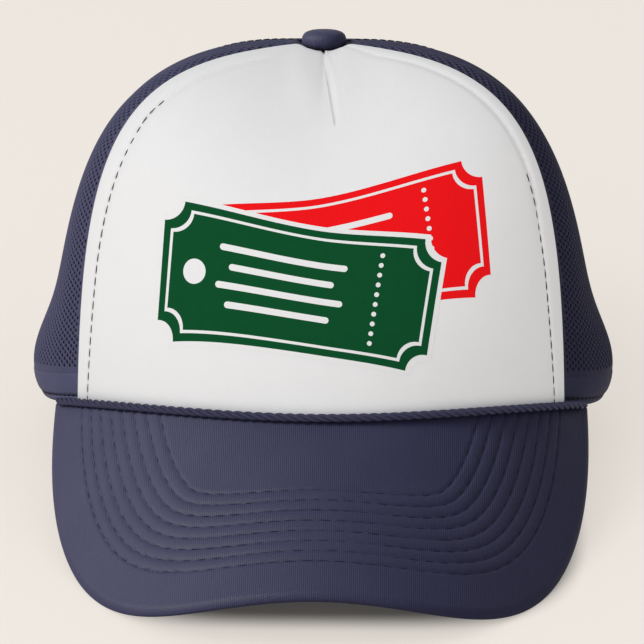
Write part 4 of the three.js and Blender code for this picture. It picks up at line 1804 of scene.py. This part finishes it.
@dataclass
class RopeCord:
    """Three strands twisted into the cord that lies in the corner of the crown and the peak."""

    form: CrownForm
    peak: Peak
    radius: float = 1.35
    end_turn: float = 65.0
    twist_pitch: float = 9.9
    strand_radius: float = 0.66
    sample: float = 0.4
    strands: int = 3

    def strand_tree(self) -> Tree:
        """Builds the tree that winds the strands round a line.

        Returns:
            The tree.
        """
        tree = Tree("twisted_cord", "Sample", "Pitch", "Lay", "Strand")
        steps, tangent, outward = tree.walk("Sample")
        place = tree.add("GeometryNodeSplineParameter")
        turns = tree.maths("DIVIDE", place.outputs["Length"], tree.given("Pitch"))
        angle = tree.maths("MULTIPLY", turns, 2.0 * math.pi)
        arm = tree.scaled(outward.outputs[0], tree.given("Lay"))
        circle = {"Resolution": 10, "Radius": tree.given("Strand")}
        ring = tree.add("GeometryNodeCurvePrimitiveCircle", circle)
        joined = tree.add("GeometryNodeJoinGeometry")
        for strand in range(self.strands):
            phase = 2.0 * math.pi * strand / self.strands
            spin = {"Vector": arm, "Axis": tangent.outputs[0], "Angle": tree.maths("ADD", angle, phase)}
            wound = tree.add("ShaderNodeVectorRotate", spin, rotation_type="AXIS_ANGLE")
            offset = {"Geometry": steps.outputs[0], "Offset": wound.outputs[0]}
            moved = tree.add("GeometryNodeSetPosition", offset)
            skin = {"Curve": moved.outputs[0], "Profile Curve": ring.outputs[0], "Fill Caps": True}
            tube = tree.add("GeometryNodeCurveToMesh", skin)
            tree.group.links.new(tube.outputs[0], joined.inputs[0])
        tree.end(joined.outputs[0])
        return tree

    def line(self) -> tuple[Array, Array]:
        """Middle line of the cord and the directions away from the corner that it lies in.

        Returns:
            Points and directions.
        """
        form, peak = self.form, self.peak
        turn = np.linspace(-self.end_turn, self.end_turn, 180)
        across = turn / peak.tip_turn
        reach = self.radius + form.gap
        root = peak.top(across, 0.0)
        along = peak.top(across, 1.0) - root
        along = along / np.linalg.norm(along, axis=-1, keepdims=True)
        small = 0.01
        aside = peak.top(across + small, small) - peak.top(across - small, small)
        up = np.cross(along, aside)
        up = up / np.linalg.norm(up, axis=-1, keepdims=True)
        up = up * np.where(up[..., 2:] < 0, -1.0, 1.0)
        x, y = form.rim_point(turn)
        outward = np.stack([x, y, np.zeros_like(x)], axis=-1) / np.hypot(x, y)[:, None]
        bulge = np.maximum(form.swell_at(turn, 2 * self.radius) + 0.3, 0.0)
        lift = (up * outward).sum(axis=-1)
        slide = (along * outward).sum(axis=-1)
        away = (reach * (1.0 - lift) + bulge - peak.underlap) / slide
        return root + along * away[:, None] + up * reach, up

    def build(self, shop: Workshop) -> None:
        """Builds the cord.

        Args:
            shop: Maker of the meshes.
        """
        cord = shop.path("twisted_cord", [self.line()])
        sizes = {"Sample": self.sample, "Pitch": self.twist_pitch, "Strand": self.strand_radius}
        sizes["Lay"] = self.radius - self.strand_radius
        self.strand_tree().grow(cord, shop.finishes.cord_yarn, sizes)
        declare(bake(cord), Slot.CORD, "rope_braid")


@dataclass
class CoveredButton:
    """Cloth-covered button, gathered towards its foot."""

    form: CrownForm
    radius: float = 7.4
    height: float = 6.1
    gathers: int = 9
    gather_depth: float = 0.16
    gather_reach: float = 0.55
    outs: tuple[float, ...] = (0.0, 0.66, 0.88, 0.98, 1.0, 0.97, 0.85, 0.56, 0.0)
    ups: tuple[float, ...] = (0.0, 0.0, 0.12, 0.28, 0.46, 0.67, 0.86, 0.98, 1.0)

    def build(self, shop: Workshop) -> None:
        """Builds the button.

        Args:
            shop: Maker of the meshes.
        """
        places = np.linspace(0.0, 1.0, len(self.outs))
        fine = np.linspace(0.0, 1.0, 46)[1:-1]
        out = self.rounded(fine, places, self.outs) * self.radius
        up = self.rounded(fine, places, self.ups) * self.height
        spins = np.radians(np.arange(0, 360, 5))[:, None]
        low = 1.0 - ease(up / (self.gather_reach * self.height))
        waves = np.sin(self.gathers * spins + 0.6 * np.sin(3 * spins))
        reach = out + self.gather_depth * waves * low * (out / self.radius)
        base = self.form.seat_height + self.form.gap
        rise = np.broadcast_to(base + up, reach.shape)
        points = np.stack([np.sin(spins) * reach, -np.cos(spins) * reach, rise], axis=-1)
        wide, high = points.shape[:2]
        corners = np.concatenate([points.reshape(-1, 3), [[0, 0, base], [0, 0, base + self.height]]])
        faces = []
        foot, crest = wide * high, wide * high + 1
        for column in range(wide):
            here, there = column * high, (column + 1) % wide * high
            faces += [[here + row, there + row, there + row + 1, here + row + 1] for row in range(high - 1)]
            faces.append([foot, there, here])
            faces.append([crest, here + high - 1, there + high - 1])
        button = shop.solid("covered_button", corners, faces, shop.finishes.button_cloth, corners[:, :2])
        declare(button, Slot.CLOTH, "top_button")

    @staticmethod
    def rounded(at: Array, places: Array, values: Array) -> Array:
        """Smooths a short profile by averaging its straight interpolation.

        Args:
            at: Where to read the profile.
            places: Places of its values.
            values: The values.

        Returns:
            The smoothed values.
        """
        spread = 0.045
        samples = [np.interp(at + shift, places, values) for shift in np.linspace(-spread, spread, 9)]
        return np.mean(samples, axis=0)


@dataclass(frozen=True)
class Sheet:
    """Where one ticket of the print lies: its turn in degrees and its middle in millimetres."""

    turned: float
    across: float
    up: float


@dataclass
class TicketPrint:
    """Plain print on the front: two punched tickets, one across the other."""

    form: CrownForm
    panel: FoamPanel
    width: float = 86.0
    height: float = 39.0
    notch: float = 6.0
    cell: float = 2.0
    lift: float = 0.03
    straighten: float = 0.0036
    margin: float = 1.5
    keyline: tuple[float, float] = (2.2, 3.1)
    hole_inset: float = 11.0
    hole: float = 3.6
    tear_inset: float = 18.0
    tear_pitch: float = 3.0
    tear_dot: float = 0.75
    tear_dots: int = 10
    line_pitch: float = 5.6
    line_length: float = 40.0
    line_height: float = 2.0
    line_middle: float = -5.0
    lines: int = 4
    weld: float = 0.005
    front: Sheet = Sheet(-8.0, -7.0, 40.5)
    rear: Sheet = Sheet(10.0, 9.0, 52.0)

    def outline(self, inset: float) -> Array:
        """Ticket outline with hollow round corners, an inset inside its edge.

        Args:
            inset: How far further in.

        Returns:
            The outline.
        """
        half_x, half_y = self.width / 2.0 - inset, self.height / 2.0 - inset
        radius = self.notch
        points = []
        for corner_x, corner_y, start in ((1, 1, 180), (-1, 1, 270), (-1, -1, 0), (1, -1, 90)):
            angles = np.radians(np.linspace(start + 90, start, 12))
            arc = np.stack([np.cos(angles), np.sin(angles)], axis=-1) * radius
            points.append(arc + (corner_x * half_x, corner_y * half_y))
        return np.concatenate(points)

    @staticmethod
    def disc(x: float, y: float, radius: float) -> Array:
        """Outline of a round spot."""
        angles = np.linspace(0.0, 2.0 * np.pi, 28, endpoint=False)
        return np.stack([x + radius * np.cos(angles), y + radius * np.sin(angles)], axis=-1)

    @staticmethod
    def bar(x: float, y: float, width: float, height: float) -> Array:
        """Outline of a bar with round ends.

        Args:
            x: Middle to the side.
            y: Middle upwards.
            width: Width.
            height: Height.

        Returns:
            The outline.
        """
        radius = height / 2.0
        right = np.radians(np.linspace(-90, 90, 10))
        left = np.radians(np.linspace(90, 270, 10))
        ends = [(x + width / 2 - radius, right), (x - width / 2 + radius, left)]
        parts = [np.stack([cx + radius * np.cos(a), y + radius * np.sin(a)], axis=-1) for cx, a in ends]
        return np.concatenate(parts)

    @staticmethod
    def ring(outer: Array, inner: Array) -> list[Array]:
        """Quads between two outlines with as many points."""
        after = np.roll(np.arange(len(outer)), -1)
        return [np.array([outer[i], outer[j], inner[j], inner[i]]) for i, j in enumerate(after)]

    def lay(
        self, shop: Workshop, name: str, outlines: list[Array], sheet: Sheet, level: int, ink: Material
    ) -> None:
        """Lays filled outlines on the panel as a thin film of ink.

        Args:
            shop: Maker of the meshes.
            name: Name of the piece.
            outlines: Closed outlines in millimetres round the ticket's middle.
            sheet: Where the ticket lies.
            level: How many films lie below.
            ink: Material.
        """
        flat = bmesh.new()
        for outline in outlines:
            flat.faces.new([flat.verts.new((x, y, 0.0)) for x, y in outline])
        bmesh.ops.remove_doubles(flat, verts=flat.verts[:], dist=self.weld)
        bmesh.ops.triangulate(flat, faces=flat.faces[:])
        reach = max(self.width, self.height)
        for axis in (Vector((1, 0, 0)), Vector((0, 1, 0))):
            for place in np.arange(-reach / 2, reach / 2, self.cell):
                geometry = flat.verts[:] + flat.edges[:] + flat.faces[:]
                bmesh.ops.bisect_plane(flat, geom=geometry, plane_co=axis * float(place), plane_no=axis)
        bmesh.ops.remove_doubles(flat, verts=flat.verts[:], dist=self.weld)
        flat.verts.index_update()
        places = np.array([vertex.co[:2] for vertex in flat.verts])
        faces = [[vertex.index for vertex in face.verts] for face in flat.faces]
        flat.free()
        angle = math.radians(sheet.turned)
        turned = np.array([[math.cos(angle), -math.sin(angle)], [math.sin(angle), math.cos(angle)]])
        places = places @ turned.T + (sheet.across, sheet.up)
        rise = places[:, 1] - self.straighten * places[:, 0] ** 2
        turn, step = FlatMap(self.form, 0.0).spot(places[:, 0], rise)
        points = self.form.point(turn, step, self.panel.relief(turn, step) + self.lift * (1 + level))
        film = shop.mesh(name, points, faces, ink, places)
        thicken(film, self.lift)
        bake(film).data.set_sharp_from_angle(angle=SHARP_ANGLE)
        declare(film, Slot.FOAM)

    def marks(self) -> list[Array]:
        """Keyline, punched hole, tear line and blank lines of a ticket.

        Returns:
            Their outlines.
        """
        marks = self.ring(*(self.outline(inset) for inset in self.keyline))
        marks.append(self.disc(-self.width / 2 + self.hole_inset, 0.0, self.hole))
        tear, middle = self.width / 2 - self.tear_inset, (self.tear_dots - 1) / 2
        for number in range(self.tear_dots):
            marks.append(self.disc(tear, (middle - number) * self.tear_pitch, self.tear_dot))
        for number in range(self.lines):
            up = ((self.lines - 1) / 2 - number) * self.line_pitch
            length = self.line_length - 7.0 * (number % 2)
            marks.append(self.bar(self.line_middle, up, length, self.line_height))
        return marks

    def build(self, shop: Workshop) -> None:
        """Builds the films of ink from the lowest up.

        Args:
            shop: Maker of the meshes.
        """
        green = InkFinish("green_ink", (0.002, 0.082, 0.026), (0.006, 0.096, 0.034)).make()
        red = InkFinish("red_ink", (0.86, 0.006, 0.01), (0.8, 0.014, 0.018)).make()
        white = InkFinish("white_ink", WHITE, DIM_WHITE).make()
        films = (
            ("red_ticket", [self.outline(0.0)], self.rear, red),
            ("red_ticket_marks", self.marks(), self.rear, white),
            ("green_margin", [self.outline(-self.margin)], self.front, white),
            ("green_ticket", [self.outline(0.0)], self.front, green),
            ("green_ticket_marks", self.marks(), self.front, white),
        )
        for level, (name, outlines, sheet, ink) in enumerate(films):
            self.lay(shop, name, outlines, sheet, level, ink)


@dataclass(frozen=True)
class Studio:
    """Camera at the photo's angle, pale floor and soft light."""

    distance: float = 1100.0
    elevation: float = 21.5
    azimuth: float = 1.0
    pixels_per_mm: float = 3.0
    frame_pixels: float = 644.0
    target_height: float = 50.0
    target_pixel: tuple[float, float] = (323.0, 256.0)
    sensor: float = 36.0
    floor_half: float = 4.0
    lamp_target: Triple = (0.0, 0.0, 0.06)
    cloth_light: Triple = (1.0, 1.0, 0.8)
    ambient: float = 0.61
    gamma: float = 0.9

    def camera(self, placement: Placement) -> None:
        """Places the camera so that the crown's axis falls where the photo has it.

        Args:
            placement: Where the cap stands.
        """
        focal = self.pixels_per_mm * self.distance
        data = bpy.data.cameras.new("camera")
        data.sensor_width = self.sensor
        data.lens = focal * self.sensor / self.frame_pixels
        data.clip_start, data.clip_end = 0.05, 20.0
        target = placement.origin + np.array([0.0, 0.0, self.target_height])
        side, rise = math.radians(self.azimuth), math.radians(self.elevation)
        back = np.array([math.sin(side) * math.cos(rise), -math.cos(side) * math.cos(rise), math.sin(rise)])
        camera = shown("camera", data)
        camera.location = Vector(((target + back * self.distance) * MM).tolist())
        middle = self.frame_pixels / 2.0
        yaw = math.atan((self.target_pixel[0] - middle) / focal)
        pitch = math.atan((middle - self.target_pixel[1]) / focal)
        camera.rotation_euler = (math.pi / 2.0 - rise - pitch, 0.0, side + yaw)
        bpy.context.scene.camera = camera

    def floor(self) -> None:
        """Lays the floor."""
        mesh = bpy.data.meshes.new("floor")
        signs = ((-1, -1), (1, -1), (1, 1), (-1, 1))
        corners = [(x * self.floor_half, y * self.floor_half, 0.0) for x, y in signs]
        mesh.from_pydata(corners, [], [(0, 1, 2, 3)])
        mesh.materials.append(FloorFinish().make())
        shown("floor", mesh)

    def lamp(self, name: str, place: Triple, power: float, size: float) -> Object:
        """Hangs a square lamp that faces the cap.

        Args:
            name: Name of the lamp.
            place: Where it hangs, in metres.
            power: Its power in watts.
            size: Length of its sides in metres.

        Returns:
            The lamp.
        """
        data = bpy.data.lights.new(name, "AREA")
        data.energy, data.size = power, size
        lamp = shown(name, data)
        lamp.location = place
        aim = Vector(self.lamp_target) - Vector(place)
        lamp.rotation_euler = aim.to_track_quat("-Z", "Y").to_euler()
        return lamp

    def light(self, navy: list[Material]) -> None:
        """Sets up the soft light, with a lamp from the left for the navy cloth alone.

        Args:
            navy: Materials of the pieces that this lamp lights.
        """
        self.lamp("key", (-1.3, -0.9, 1.6), 14.0, 1.6)
        self.lamp("front_fill", (-0.5, -2.2, 1.3), 14.0, 1.8)
        cloth_key = self.lamp("cloth_key", (-1.32, -0.28, 1.1), 63.0, 0.6)
        cloth_key.data.color = self.cloth_light
        scene = bpy.context.scene
        lit = bpy.data.collections.new("navy_pieces")
        for piece in scene.objects:
            if piece.type == "MESH" and piece.data.materials and piece.data.materials[0] in navy:
                lit.objects.link(piece)
        cloth_key.light_linking.receiver_collection = lit
        scene.world = bpy.data.worlds.new("studio")
        scene.world.use_nodes = True
        sky = scene.world.node_tree.nodes["Background"].inputs
        sky[0].default_value = (1.0, 1.0, 1.0, 1.0)
        sky[1].default_value = self.ambient
        scene.view_settings.view_transform = "Standard"
        scene.view_settings.gamma = self.gamma


def main() -> None:
    """Builds the cap's pieces in order and reports each."""
    logging.basicConfig(level=logging.INFO, format="%(name)s %(message)s")
    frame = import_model()
    form = CrownForm()
    placement = Placement.from_button(frame["nodes"]["top_button"], form)
    LOG.info("lean %.3f degrees, origin %s", math.degrees(placement.lean), placement.origin.round(3))
    studio = Studio()
    studio.camera(placement)
    studio.floor()
    shop = Workshop(placement)
    panel, net, peak, opening = FoamPanel(form), NetPanels(form), Peak(form), BackOpening(form)
    panel.build(shop)
    net.build(shop)
    Hem(form, net).build(shop)
    opening.tape(shop)
    opening.strap(shop)
    peak.build(shop)
    RopeCord(form, peak).build(shop)
    CoveredButton(form).build(shop)
    TicketPrint(form, panel).build(shop)
    studio.light(shop.finishes.navy())


if __name__ == "__main__":
    main()
